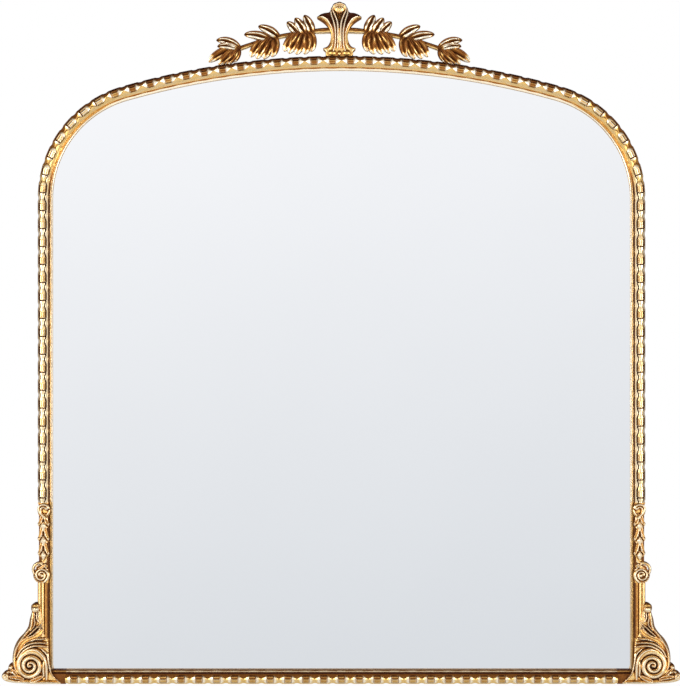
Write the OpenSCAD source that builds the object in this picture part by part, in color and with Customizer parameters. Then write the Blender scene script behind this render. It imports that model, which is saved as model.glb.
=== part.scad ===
// Arched wall mirror in a narrow bead-and-cord moulding, with a leaf crest and two scroll corners.
// Everything is drawn flat on its back: x to the right, y up and z out towards the room, with z = 0 on
// the back plane of the frame and y = 0 on the line of the two ring pivots. on_wall() stands it up.

/* [Frame] */
// Width of the frame, without the corner scrolls
frame_w = 824; // [760:1:960]
// Height of the frame from its bottom edge to the top of the arch
frame_h = 852; // [780:1:1000]
// Outer radius of the long flat arc over the top
crown_r = 1090; // [900:1:1400]
// Outer radius of the two shoulders of the arch
shoulder_r = 158; // [130:1:190]
// Face width of the moulding
rail_w = 19; // [18.5:0.1:22]
// Width of the ledge that holds the glass, behind the lip
rebate_w = 6.4; // [5:0.1:7]
// Thickness of the lip in front of the glass
lip_t = 4.6; // [3.5:0.1:6]
// Rise from the front of the lip to the floor of the bead channel
step_t = 4.4; // [3:0.1:6]

/* [Bead chain] */
// Width of the raised band that holds the beads
band_w = 14.2; // [13:0.1:14.6]
// Height of the band over the channel floor
band_h = 4.2; // [3:0.1:5]
// Rounding of the band's two shoulders
band_round = 2; // [1:0.1:2.4]
// Radius of the barrel in the middle of a bead
bead_r = 4; // [3:0.1:4.4]
// Length of that barrel
bead_barrel = 10.8; // [9:0.1:12]
// Length of a bead from tip to tip
bead_len = 22; // [20:0.1:22.6]
// Distance from bead to bead, before it is rounded to fit each rail
bead_pitch = 24.4; // [24:0.1:30]
// How deep the band is scooped beside each waist of the chain
scoop_d = 1.6; // [0.8:0.1:1.8]

/* [Glass and back] */
// Thickness of the silvered glass
glass_t = 4; // [3:0.5:6]
// Thickness of the foam tape between glass and lip
tape_t = 1; // [0.5:0.1:2]
// Width of the foam tape
tape_w = 4.5; // [3:0.1:4.6]
// Thickness of the back board
board_t = 6; // [4:0.5:9]
// Gap round the glass and the board in the rebate
edge_gap = 1; // [0.5:0.1:1.2]

/* [Crest] */
// Height of the palmette over the arch
crest_h = 74; // [68:1:84]
// Half width of its foot
crest_foot = 21; // [18:0.5:24]
// Half width of its waist
crest_waist = 11.3; // [10:0.1:13]
// Reach of its side horns from the middle
crest_horn = 29.3; // [26:0.1:34]
// Thickness of the palmette without its reeds
crest_t = 16; // [14:0.5:18]
// Radius of the curve that the leaf stems follow
stem_bend = 380; // [340:5:440]
// Radius of the stem rod
stem_r = 3.4; // [2.8:0.1:3.8]
// Height of the stems over the arch where they leave the palmette
stem_rise = 35.6; // [33:0.1:38]
// Distance of the stem's middle from the back plane
stem_z = 11; // [9:0.5:12]

/* [Corner castings] */
// Height of a corner casting, up to its top curl
corner_h = 110; // [104:1:120]
// Reach of its toe beyond the frame
corner_reach = 48; // [44:1:54]
// Start radius of the large spiral
spiral_r = 20; // [18:0.1:22]
// Distance from the back plane to the back of the casting's web
corner_back = 8; // [4:0.5:12]
// Height of the small volute's middle on the stile
volute_y = 148; // [142:1:160]
// Radius of that volute
volute_r = 10.8; // [10:0.1:12]
// Height at which the husks end and the bead chain starts
husk_top = 246; // [240:1:270]

/* [Hanging] */
// Distance of the ring pivots below the line where the stiles meet the shoulders
hang_drop = 68.7; // [50:0.1:110]
// Thickness of the wall bumpers
bumper_t = 5; // [4.8:0.1:8]
// Diameter of the wall bumpers
bumper_d = 9.6; // [7:0.1:10]
// Radius of the ring wire
wire_r = 1.25; // [1:0.05:1.3]
// Running clearance of the ring in its knuckle
ring_clear = 0.05; // [0.02:0.01:0.1]
// Radius of the ring's bow, at the middle of the wire
ring_bow = 6; // [5.6:0.1:6.6]
// Length from the pivot to the middle of the bow
ring_leg = 4; // [3:0.1:6]
// Thickness of the hanger strap
strap_t = 1; // [0.8:0.1:1]
// Width of the hanger strap
strap_w = 8.2; // [6:0.1:8.6]
// Thickness of the flat steel plates and clips
plate_t = 1.2; // [1:0.1:1.5]
// Width of those plates
plate_w = 8; // [7:0.1:9]
// Shank radius of the screws
screw_r = 1.5; // [1.2:0.1:1.7]
// How deep the screws go into the frame
screw_len = 8; // [6:0.5:9]

/* [Hidden] */
$fn = 64;

half_w = frame_w / 2;
shoulder_cx = half_w - shoulder_r;
spring_h = frame_h - crown_r + sqrt(pow(crown_r - shoulder_r, 2) - pow(shoulder_cx, 2));
sill_y = hang_drop - spring_h;
spring_y = hang_drop;
crown_y = sill_y + frame_h;
crown_cy = crown_y - crown_r;
join_a = asin(shoulder_cx / (crown_r - shoulder_r));

lip_z = board_t + glass_t + tape_t;
sight_z = lip_z + lip_t;
face_z = sight_z + step_t;
band_z = face_z + band_h;
bead_z = face_z + 2.2;
shell_z = sight_z - 1;
sight_round = 2;
land_w = rail_w - rebate_w;
glass_inset = land_w + edge_gap;
chain_u = band_w / 2;
back_step = scoop_d + 0.2;
plate_u = (back_step + land_w) / 2 + 0.3;

steel = "#b4b6b9";
gold = "#d7a24a";
gilt = "#c99a50";

module on_wall() translate([0, -bumper_t, 0]) rotate([90, 0, 0]) children();

module both_sides() {
    children();
    mirror([1, 0, 0]) children();
}

// Stands its children on the crown's arc, lean degrees to the right of the top and u in from the edge.
module on_crown(lean, u) translate([0, crown_cy, 0]) rotate([0, 0, -lean]) translate([0, crown_r - u, 0])
    children();

// The same on the right-hand shoulder.
module on_shoulder(lean, u) translate([shoulder_cx, spring_y, 0]) rotate([0, 0, -lean])
    translate([0, shoulder_r - u, 0]) children();

// Moulding section: x is the distance in from the outer edge, y the height over the back

module plain_section() {
    difference() {
        union() {
            translate([back_step, 0]) square([rail_w - back_step - sight_round, sight_z]);
            translate([0, shell_z]) square([band_w, face_z - shell_z]);
            translate([rail_w - sight_round, sight_z - sight_round]) circle(r = sight_round, $fn = 48);
            translate([land_w, lip_z]) square([rebate_w, lip_t - sight_round]);
        }
        translate([land_w, -1]) square([rebate_w + 1, lip_z + 1]);
    }
}

module band_section() {
    plain_section();
    translate([0, face_z - 1]) square([band_w, band_h + 1 - band_round]);
    translate([band_round, face_z]) square([band_w - 2 * band_round, band_h]);
    for (u = [band_round, band_w - band_round])
        translate([u, band_z - band_round]) circle(r = band_round, $fn = 48);
}

// A stretch of moulding turned about the origin with this outer radius, from angle a0 on.
module turned_rail(radius, a0, sweep) rotate([0, 0, a0])
    rotate_extrude(angle = sweep, $fn = 360) translate([radius, 0]) mirror([1, 0]) band_section();

// Bead chain: each bead lies in a lens-shaped pocket, and the band is scooped on both sides of each waist

pocket_len = bead_len + 1;
pocket_w = 2 * bead_r + 2.4;
scoop_r = 9;

module bead() {
    half = bead_len / 2;
    barrel = bead_barrel / 2;
    tip_r = 1;
    translate([0, 0, bead_z]) rotate([0, 90, 0]) rotate_extrude() polygon([
        [0, -half], [tip_r, -half], [bead_r, -barrel], [bead_r, barrel], [tip_r, half], [0, half]
    ]);
}

function lens_edge(length, width, n) = let (
    r = (length * length + width * width) / (4 * width),
    a = asin(length / (2 * r))
) [for (i = [0:n - 1]) let (t = a * (2 * i / n - 1)) [r * sin(t), r * cos(t) - r + width / 2]];

module pocket() {
    edge = lens_edge(pocket_len, pocket_w, 6);
    translate([0, 0, face_z]) linear_extrude(band_h + 1)
        polygon(concat(edge, [for (p = edge) -p]));
}

module waist_scoop() {
    away = band_w / 2 + scoop_r - scoop_d;
    translate([0, away, shell_z - 1]) cylinder(h = band_z, r = scoop_r);
    translate([0, -away, sight_z + 0.6]) cylinder(h = band_z, r = scoop_r);
}

crown_beads = 2 * round((crown_r - chain_u) * join_a * PI / 180 / bead_pitch);
shoulder_beads = round((shoulder_r - chain_u) * (90 - join_a) * PI / 180 / bead_pitch);
stile_chain = spring_y - sill_y - husk_top;
stile_beads = round(stile_chain / bead_pitch);
foot_w = 38;
bottom_chain = frame_w - 2 * foot_w;
bottom_beads = round(bottom_chain / bead_pitch);

// Repeats its children along each rail's chain. A shift of 0.5 is on the beads, and 0 on the waists.
module along_crown(shift) for (i = [0:crown_beads - (shift > 0 ? 1 : 0)])
    on_crown(join_a * (2 * (i + shift) / crown_beads - 1), chain_u) children();

module along_shoulder(shift) for (i = [0:shoulder_beads - (shift > 0 ? 1 : 0)])
    on_shoulder(join_a + (90 - join_a) * (i + shift) / shoulder_beads, chain_u) children();

module along_stile(shift) for (i = [0:stile_beads - (shift > 0 ? 1 : 0)])
    translate([half_w - chain_u, spring_y - (i + shift) * stile_chain / stile_beads, 0]) rotate([0, 0, -90])
        children();

module along_bottom(shift) for (i = [0:bottom_beads - (shift > 0 ? 1 : 0)])
    translate([bottom_chain * ((i + shift) / bottom_beads - 0.5), sill_y + chain_u, 0]) rotate([0, 0, 180])
        children();

// Places of the fittings on the back

crown_clip_a = join_a * 0.45;
shoulder_clip_a = (join_a + 90) / 2;
stile_clip_h = [for (share = [0.167, 0.425, 0.683]) share * spring_h];
bottom_clip_x = [-0.28 * frame_w, 0, 0.28 * frame_w];
splice_len = 42;
splice_hole = 14;
corner_leg = 46;
corner_holes = [20, 38];
hang_u = 8;
strap_holes = [16, 25];
crest_hole_x = 6;
crest_hole_y = 9;
bumper_in = 90;
bumper_drop = 40;

module at_crown_clips() for (side = [-1, 1]) on_crown(side * crown_clip_a, plate_u) children();

module at_shoulder_clips() on_shoulder(shoulder_clip_a, plate_u) children();

module at_stile_clips() for (h = stile_clip_h)
    translate([half_w - plate_u, sill_y + h, 0]) rotate([0, 0, -90]) children();

module at_bottom_clips() for (x = bottom_clip_x)
    translate([x, sill_y + plate_u, 0]) rotate([0, 0, 180]) children();

module at_splices() {
    on_crown(join_a, plate_u) children();
    on_shoulder(90, plate_u) children();
}

module at_corner_holes() translate([half_w, sill_y, 0]) for (d = corner_holes) {
    translate([-plate_u, d, 0]) children();
    translate([-d, plate_u, 0]) children();
}

module at_strap_holes() for (d = strap_holes) translate([half_w - hang_u, -d, 0]) children();

module at_crest_holes() for (x = [-crest_hole_x, crest_hole_x]) {
    translate([x, crown_y - plate_u, 0]) children();
    translate([x, crown_y + crest_hole_y, 0]) children();
}

module splice_ends() for (x = [-splice_hole, splice_hole]) translate([x, 0, 0]) children();

module bore(radius = screw_r, depth = screw_len) translate([0, 0, -1]) cylinder(h = depth + 1, r = radius);

// Rails

module crown_rail() color(gold) difference() {
    union() {
        difference() {
            translate([0, crown_cy, 0]) turned_rail(crown_r, 90 - join_a, 2 * join_a);
            along_crown(0.5) pocket();
            along_crown(0) waist_scoop();
        }
        along_crown(0.5) bead();
    }
    at_crown_clips() bore();
    at_crest_holes() bore();
    both_sides() at_splices() splice_ends() bore();
}

module shoulder_rail() color(gold) difference() {
    union() {
        difference() {
            translate([shoulder_cx, spring_y, 0]) turned_rail(shoulder_r, 0, 90 - join_a);
            along_shoulder(0.5) pocket();
            along_shoulder(0) waist_scoop();
        }
        along_shoulder(0.5) bead();
    }
    at_shoulder_clips() bore();
    at_splices() splice_ends() bore();
}

reed_r = 2.1;
reed_gap = 4.5;
reed_foot = 62;

// The three half-round reeds between the corner casting and the small volute.
module reeds() for (i = [-1:1]) translate([half_w - chain_u + i * reed_gap, sill_y + reed_foot, face_z])
    rotate([-90, 0, 0]) cylinder(h = volute_y - volute_r - reed_foot, r = reed_r);

// What lies beyond the mitre of the bottom right corner, on the stile's or on the bottom rail's side.
module beyond_mitre(side) translate([half_w, sill_y, -1]) rotate([0, 0, 135])
    translate([-60, side < 0 ? -100 : 0, 0]) cube([160, 100, band_z + 2]);

module stile() color(gold) difference() {
    union() {
        difference() {
            translate([half_w, spring_y, 0]) rotate([90, 0, 0]) mirror([1, 0, 0]) {
                linear_extrude(spring_y - sill_y) plain_section();
                linear_extrude(stile_chain) band_section();
            }
            along_stile(0.5) pocket();
            along_stile(0) waist_scoop();
            beyond_mitre(1);
        }
        along_stile(0.5) bead();
        reeds();
    }
    at_stile_clips() bore();
    at_strap_holes() bore();
    at_corner_holes() bore();
    at_splices() splice_ends() bore();
}

module bottom_rail() color(gold) difference() {
    union() {
        difference() {
            translate([0, sill_y, 0]) rotate([90, 0, 90]) {
                translate([0, 0, -half_w]) linear_extrude(frame_w) plain_section();
                translate([0, 0, -bottom_chain / 2]) linear_extrude(bottom_chain) band_section();
            }
            along_bottom(0.5) pocket();
            along_bottom(0) waist_scoop();
            both_sides() beyond_mitre(-1);
        }
        along_bottom(0.5) bead();
    }
    at_bottom_clips() bore();
    both_sides() at_corner_holes() bore();
}

// Glass and back

// The frame's outline moved in by inset: a box with a flat arc and two shoulders, as one closed line.
function arch_outline(inset) = let (
    n = 24,
    shoulder = [for (i = [0:n]) let (a = 90 - (90 - join_a) * i / n)
        [shoulder_cx + (shoulder_r - inset) * sin(a), spring_y + (shoulder_r - inset) * cos(a)]],
    crown = [for (i = [1:n]) let (a = join_a * (1 - i / n))
        [(crown_r - inset) * sin(a), crown_cy + (crown_r - inset) * cos(a)]],
    half = concat([[half_w - inset, sill_y + inset]], shoulder, crown)
) concat(half, [for (i = [len(half) - 2:-1:0]) [-half[i].x, half[i].y]]);

module mirror_glass() color("#dfe6ea") translate([0, 0, board_t])
    linear_extrude(glass_t) polygon(arch_outline(glass_inset));

module back_board() color("#a98a63") linear_extrude(board_t) polygon(arch_outline(glass_inset));

tape_u = rail_w - 0.4 - tape_w;
tape_gap = 3;

// Foam tape on the back of the lip, laid in strips that are short enough to follow the curves.
module glazing_tape() color("#54565a") translate([0, 0, lip_z - tape_t]) {
    strip = (spring_y - sill_y - rail_w - 2 * tape_gap) / 2;
    both_sides() for (i = [0:1])
        translate([half_w - tape_u - tape_w, spring_y - (i + 1) * (strip + tape_gap), 0])
            cube([tape_w, strip, tape_t]);
    for (i = [-1, 0]) translate([i * (half_w - rail_w) + tape_gap / 2, sill_y + tape_u, 0])
        cube([half_w - rail_w - tape_gap, tape_w, tape_t]);
    crown_strips = 6;
    for (i = [0:crown_strips - 1]) translate([0, crown_cy, 0])
        tape_arc(crown_r, 90 - join_a + 2 * join_a * i / crown_strips, 2 * join_a / crown_strips);
    shoulder_strips = 4;
    both_sides() for (i = [0:shoulder_strips - 1]) translate([shoulder_cx, spring_y, 0])
        tape_arc(shoulder_r, (90 - join_a) * i / shoulder_strips, (90 - join_a) / shoulder_strips);
}

module tape_arc(radius, a0, sweep) {
    gap_a = tape_gap / radius * 180 / PI;
    rotate([0, 0, a0 + gap_a / 2]) rotate_extrude(angle = sweep - gap_a)
        translate([radius - tape_u - tape_w, 0]) square([tape_w, tape_t]);
}

block_len = 30;

// Two blocks carry the glass and the board in the bottom of the rebate.
module setting_blocks() color("#2e2f31") for (side = [-1, 1])
    translate([side * frame_w / 4 - block_len / 2, sill_y + land_w, 0.5])
        cube([block_len, edge_gap, board_t + glass_t - 1]);

// Steel fittings

head_r = 2.8;
head_h = 1.4;

// A pan-head screw with a cross slot, through a plate of this thickness.
module screw(through) color(steel) difference() {
    union() {
        translate([0, 0, -through]) cylinder(h = through + screw_len, r = screw_r);
        translate([0, 0, -through - head_h]) cylinder(h = head_h / 2, r1 = head_r - 0.7, r2 = head_r);
        translate([0, 0, -through - head_h / 2]) cylinder(h = head_h / 2, r = head_r);
    }
    for (a = [0, 90]) rotate([0, 0, a]) translate([-1.5, -0.3, -through - head_h - 0.1]) cube([3, 0.6, 0.8]);
}

// A flat bar along x, with round ends at x0 and x1.
module bar_2d(x0, x1, w) {
    translate([x0, -w / 2]) square([x1 - x0, w]);
    for (x = [x0, x1]) translate([x, 0]) circle(d = w);
}

clip_reach = 14;
hole_play = 0.2;

module clip() translate([0, 0, -plate_t]) difference() {
    rotate([0, 0, -90]) linear_extrude(plate_t) bar_2d(0, clip_reach, plate_w);
    bore(screw_r + hole_play);
}

module board_clips() color(steel) {
    at_crown_clips() clip();
    both_sides() at_shoulder_clips() clip();
    both_sides() at_stile_clips() clip();
    at_bottom_clips() clip();
}

module clip_screws() {
    at_crown_clips() screw(plate_t);
    both_sides() at_shoulder_clips() screw(plate_t);
    both_sides() at_stile_clips() screw(plate_t);
    at_bottom_clips() screw(plate_t);
}

module corner_plates() color(steel) both_sides() translate([0, 0, -plate_t]) difference() {
    translate([half_w - plate_u, sill_y + plate_u, 0]) linear_extrude(plate_t) {
        rotate(90) bar_2d(0, corner_leg - plate_u, plate_w);
        rotate(180) bar_2d(0, corner_leg - plate_u, plate_w);
    }
    at_corner_holes() bore(screw_r + hole_play);
}

module splice_plates() color(steel) both_sides() at_splices() translate([0, 0, -plate_t]) difference() {
    linear_extrude(plate_t) bar_2d(plate_w / 2 - splice_len / 2, splice_len / 2 - plate_w / 2, plate_w);
    splice_ends() bore(screw_r + hole_play);
}

module plate_screws() both_sides() {
    at_corner_holes() screw(plate_t);
    at_splices() splice_ends() screw(plate_t);
}

module crest_plate() color(steel) translate([0, 0, -plate_t]) difference() {
    low = crown_y - plate_u - plate_w / 2;
    linear_extrude(plate_t) translate([-crest_hole_x - 3.6, low])
        square([2 * crest_hole_x + 7.2, crown_y + crest_hole_y + 4 - low]);
    at_crest_holes() bore(screw_r + hole_play);
}

module crest_screws() at_crest_holes() screw(plate_t);

module hanger_screws() both_sides() at_strap_holes() screw(strap_t);

module wall_bumpers() color("#3a3a3c") both_sides() {
    translate([half_w - bumper_in, sill_y + plate_u, 0]) bumper();
    translate([half_w - plate_u, spring_y - bumper_drop, 0]) bumper();
}

module bumper() rotate_extrude() polygon([
    [0, -bumper_t], [bumper_d / 2 - 0.7, -bumper_t],
    [bumper_d / 2, -bumper_t + 0.7], [bumper_d / 2, 0], [0, 0]
]);

// Hanging rings: a D of wire turns in the rolled end of a strap

knuckle_r = wire_r + ring_clear + strap_t;
strap_len = 30;

module hanger_strap() color(steel) difference() {
    translate([half_w - hang_u - strap_w / 2, 0, 0]) rotate([90, 0, 90])
    linear_extrude(strap_w) difference() {
        union() {
            translate([0, -knuckle_r]) circle(r = knuckle_r);
            translate([-strap_len, -strap_t]) square([strap_len, strap_t]);
        }
        translate([0, -knuckle_r]) circle(r = wire_r + ring_clear);
    }
    at_strap_holes() translate([0, 0, -strap_t]) bore(screw_r + hole_play);
}

elbow_r = 1.7;

module hanger_ring() color(steel) translate([half_w - hang_u, 0, -knuckle_r]) {
    pin = ring_bow - elbow_r;
    rotate([0, 90, 0]) cylinder(h = 2 * pin, r = wire_r, center = true);
    both_sides() {
        translate([pin, -elbow_r, 0]) rotate_extrude(angle = 90) translate([elbow_r, 0]) circle(r = wire_r);
        translate([ring_bow, -ring_leg, 0]) rotate([-90, 0, 0]) cylinder(h = ring_leg - elbow_r, r = wire_r);
    }
    translate([0, -ring_leg, 0]) rotate([0, 0, 180]) rotate_extrude(angle = 180)
        translate([ring_bow, 0]) circle(r = wire_r);
}

// Carved work: skins over rings of points, which run along a curve with the flat back at z = 0

module skin(rings) {
    m = len(rings[0]);
    last = (len(rings) - 1) * m;
    polyhedron([for (r = rings) each r], concat(
        [[for (j = [m - 1:-1:0]) j], [for (j = [0:m - 1]) last + j]],
        [for (i = [0:len(rings) - 2], j = [0:m - 1]) let (a = i * m + j, b = i * m + (j + 1) % m)
            [a, b, b + m, a + m]]
    ));
}

// One ring at p = [x, y, heading]: a section of half width w and height h, given by its unit corners.
function ring(p, w, h, corners) = [for (q = corners)
    [p.x - q.x * w * sin(p.z), p.y + q.x * w * cos(p.z), q.y * h]];

keel = [[-1, 0], [0, 1], [1, 0]];
round_band = [[-1, 0], [-0.7, 1], [0.7, 1], [1, 0]];

// A leaf along x with its middle bowed to the left, a keeled top and a raised vein. A blunt leaf has a
// round tip, and the others come to a point.
function leaf_at(length, bow, t) = [length * t, 4 * bow * t * (1 - t), atan2(4 * bow * (1 - 2 * t), length)];
function leaf_half(t, blunt = false) = max(0.08, blunt
    ? (0.5 + 0.5 * sin(90 * min(1, 2 * t))) * sqrt(1 - pow(t, 5))
    : pow(sin(180 * (0.08 + 0.92 * t)), 0.55));
function leaf_top(t) = 0.55 + 0.45 * sin(180 * pow(t, 0.7));

module leaf(length, bow, w, h, steps = 5, veined = true, blunt = false) {
    skin([for (i = [0:steps]) let (t = blunt ? sin(90 * i / steps) : i / steps)
        ring(leaf_at(length, bow, t), w * leaf_half(t, blunt), h * leaf_top(t), keel)]);
    if (veined) hull() for (v = [[0.03, 0.9], [0.5, 0.6]]) {
        p = leaf_at(length, bow, v[0]);
        translate([p.x, p.y, h * leaf_top(v[0]) - 0.2]) sphere(r = v[1], $fn = 4);
    }
}

// A leaf from one point to another.
module frond(from, to, bow, w, h, steps = 5, veined = true)
    translate([from.x, from.y, 0]) rotate(atan2(to.y - from.y, to.x - from.x))
        leaf(norm(to - from), bow, w, h, steps, veined);

// A smooth curve through its points: t runs from 0 at the first point to 1 at the last.
function curve_at(p, t) = let (
    n = len(p) - 1,
    i = min(floor(t * n), n - 1),
    u = t * n - i,
    a = p[max(i - 1, 0)],
    d = p[min(i + 2, n)]
) (2 * p[i] + (p[i + 1] - a) * u + (2 * a - 5 * p[i] + 4 * p[i + 1] - d) * u * u
    + (3 * p[i] - a - 3 * p[i + 1] + d) * u * u * u) / 2;

function curve_ring(p, t, w, h) = let (
    q = curve_at(p, t),
    v = curve_at(p, min(t + 0.01, 1)) - curve_at(p, max(t - 0.01, 0))
) ring([q.x, q.y, atan2(v.y, v.x)], w * (0.35 + 0.65 * sin(180 * (0.12 + 0.76 * t))),
    h * (0.6 + 0.4 * sin(180 * t)), keel);

// A keeled strand along such a curve.
module strand(p, w, h) {
    n = ceil(1.1 * len(p));
    skin([for (i = [0:n]) curve_ring(p, i / n, w, h)]);
}

// A band that winds clockwise from radius r0 in to r1 and rises towards its eye.
module volute(r0, r1, turns, start, w0, w1, h0, h1) {
    steps = round(12 * turns);
    skin([for (i = [0:steps])
        let (s = i / steps, a = start - 360 * turns * s, r = r1 + (r0 - r1) * pow(1 - s, 1.15))
        ring([r * cos(a), r * sin(a), a - 90], w0 + (w1 - w0) * s, h0 + (h1 - h0) * s, round_band)]);
}

// A round boss of radius r on the same flat back.
module boss(p, r, h, facets = 8) translate([p.x, p.y, 0]) hull() {
    cylinder(h = h * 0.4, r = r, $fn = facets);
    translate([0, 0, h - r * 0.55]) scale([1, 1, 0.55]) sphere(r = r * 0.85, $fn = facets);
}

module link_2d(p, r0, q, r1) hull() {
    translate(p) circle(r = r0, $fn = 12);
    translate(q) circle(r = r1, $fn = 12);
}

// Crest

function stem_at(x) = [x, crown_y + stem_rise - stem_bend + sqrt(stem_bend * stem_bend - x * x)];

stem_from = crest_waist - 6;
stem_to = 143;
stem_play = 0.06;

module stem_rod(x0, x1, radius = stem_r, facets = 64)
    translate([0, crown_y + stem_rise - stem_bend, stem_z])
        rotate([0, 0, 90 - asin(x1 / stem_bend)])
            rotate_extrude(angle = asin(x1 / stem_bend) - asin(x0 / stem_bend), $fn = facets < 20 ? 200 : 720)
                translate([stem_bend, 0]) circle(r = radius, $fn = facets);

module crest_stem() color(gilt) stem_rod(stem_from, stem_to);

dome_r = 11.6;
dome_y = crest_h - dome_r;
waist_y = 25;
foot_edge = 8;
foot_in = 2.6;
flank_r = (pow(crest_foot - crest_waist, 2) + pow(waist_y - foot_edge, 2)) / (2 * (crest_foot - crest_waist));
flank_cx = crest_waist + flank_r;
horn_y = dome_y - 11;
horn_r = 13.7;
horn_cut_r = 18.8;
crest_reed_r = 1.9;

// The side horns droop: their upper edge is round, and their lower edge is cut hollow.
module palmette_2d() {
    difference() {
        polygon([
            [-crest_foot + foot_in, -1], [crest_foot - foot_in, -1], [crest_foot, foot_edge - 0.8],
            [crest_foot, waist_y + 6], [-crest_foot, waist_y + 6], [-crest_foot, foot_edge - 0.8]
        ]);
        for (side = [-1, 1]) translate([side * flank_cx, waist_y]) circle(r = flank_r);
    }
    translate([-crest_waist - 0.6, waist_y + 5]) square([2 * crest_waist + 1.2, dome_y - waist_y - 9]);
    for (side = [-1, 1]) difference() {
        intersection() {
            translate([side * (crest_horn - 12.6), horn_y - 5.4]) circle(r = horn_r);
            translate([side > 0 ? 4 : -44, horn_y - 20]) square([40, 40]);
        }
        translate([side * (crest_horn + 1.9), horn_y - 18.4]) circle(r = horn_cut_r);
    }
    translate([0, dome_y]) circle(r = dome_r - 1.4);
    for (a = [-15:30:195]) translate([(dome_r - 2.4) * cos(a), dome_y + (dome_r - 2.4) * sin(a)])
        circle(r = 2.4);
}

// A reed that follows the flank out to the foot and runs straight up from the waist, x from the middle.
module crest_reed(x) {
    r = flank_cx - x;
    a = asin((waist_y - foot_edge) / r);
    translate([x, waist_y, 0]) rotate([-90, 0, 0]) cylinder(h = dome_y - waist_y - 9, r = crest_reed_r);
    translate([flank_cx, waist_y, 0]) rotate([0, 0, 180]) rotate_extrude(angle = a, $fn = 180)
        translate([r, 0]) circle(r = crest_reed_r, $fn = 32);
}

module crest_palmette() color(gold) difference() {
    translate([0, crown_y, 0]) {
        linear_extrude(crest_t) palmette_2d();
        translate([0, 0, crest_t]) {
            both_sides() for (x = [4.15, 8.3]) crest_reed(x);
            translate([0, foot_edge, 0]) rotate([-90, 0, 0])
                cylinder(h = dome_y - foot_edge - 13, r = crest_reed_r);
            translate([0, dome_y, 0]) rotate_extrude() translate([dome_r - 3.4, 0]) circle(r = 1.8, $fn = 32);
            translate([0, dome_y, -2]) sphere(r = 6.4);
            for (i = [-2:2]) translate([i * 7.2, foot_edge - 3, -1.5]) sphere(r = 4);
        }
    }
    translate([0, crown_cy, shell_z]) cylinder(h = 3 * crest_t, r = crown_r, $fn = 720);
    translate([0, crown_cy, -1]) cylinder(h = shell_z + 2, r = crown_r - back_step, $fn = 720);
    at_crest_holes() bore();
    both_sides() stem_rod(stem_from, 2 * crest_horn);
}

// Each leaf is where it leaves the stem, its direction, length, bow and half width.
INNER = [
    [39, 64, 23, 1, 5.4], [48, 57, 22, 1, 5.4], [57, 48, 20, 1, 5],
    [57, -57, 31, 2, 5.4], [51, -67, 30, 1, 5.6], [44, -81, 29, -2, 5.8], [40, -96, 28, -3, 5.2]
];
MIDDLE = [
    [84, 29, 29, 2, 4.8], [97, 11, 32, 2.4, 4.8],
    [101, -58, 29, 2, 5.4], [92, -66, 29, -1, 5.6], [87, -80, 25, -2.5, 5]
];
OUTER = [[136, 21, 33, 4.6, 4.4], [140, -22, 40, 4, 5.6], [138, -42, 30, -2, 5.2], [136, -62, 21, -1.5, 4.2]];

module leaf_spray(leaves) color(gilt) difference() {
    first = min([for (l = leaves) l[0]]);
    last = max([for (l = leaves) l[0]]);
    union() {
        for (l = leaves) translate([stem_at(l[0]).x, stem_at(l[0]).y, stem_z - 2.2]) rotate(l[1])
            leaf(l[2] - 0.6, l[3], l[4], 6.2, 6, true, true);
        for (i = [0:3]) hull() for (j = [i, i + 1]) {
            p = stem_at(first + (last - first) * j / 4);
            translate([p.x, p.y, stem_z]) sphere(r = 1.5 * stem_r - (j == 0 || j == 4 ? 0.4 : 0), $fn = 6);
        }
    }
    stem_rod(first - 12, min(last + 12, stem_to), (stem_r + stem_play) / cos(180 / 12), 12);
}

// Corner castings: drawn from the frame's outer bottom corner, x outwards and y up

web_t = 2.6;
web_z = face_z + web_t;
eye = [8.4, 25.8];

corner_k = corner_h / 110;

function cast(p) = [for (q = p) [q.x * (q.x > 0 ? corner_reach / 48 : rail_w / 19), q.y * corner_k]];

OUTLINE = cast([
    [-3.6, 103], [-0.8, 108], [4.2, 109.4], [8.2, 106], [8.4, 101], [7.2, 97], [10.6, 88], [12.2, 79.5],
    [16.8, 71.5], [24.8, 63.4], [29.4, 55.5], [31.9, 47.5], [33, 39.5], [33.5, 31], [35.6, 25.4], [39, 23.4],
    [41, 17.8], [45.4, 16.4], [48, 12.6], [47.6, 8], [44.4, 4.6], [38, 2.4], [30, 1.6], [19, 2.2], [8, 0.5],
    [-28, 0.5], [-30.4, 4.6], [-24, 8.8], [-17.4, 17.6], [-15.4, 28], [-15.4, 56], [-10, 62], [-7.4, 70],
    [-7.2, 80], [-4, 86], [-3.6, 95]
]);

module corner_web_2d() {
    loop = concat(OUTLINE, [OUTLINE[0]]);
    n = 1.25 * len(OUTLINE);
    polygon([for (i = [0:n - 1]) curve_at(loop, i / n)]);
}

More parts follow.
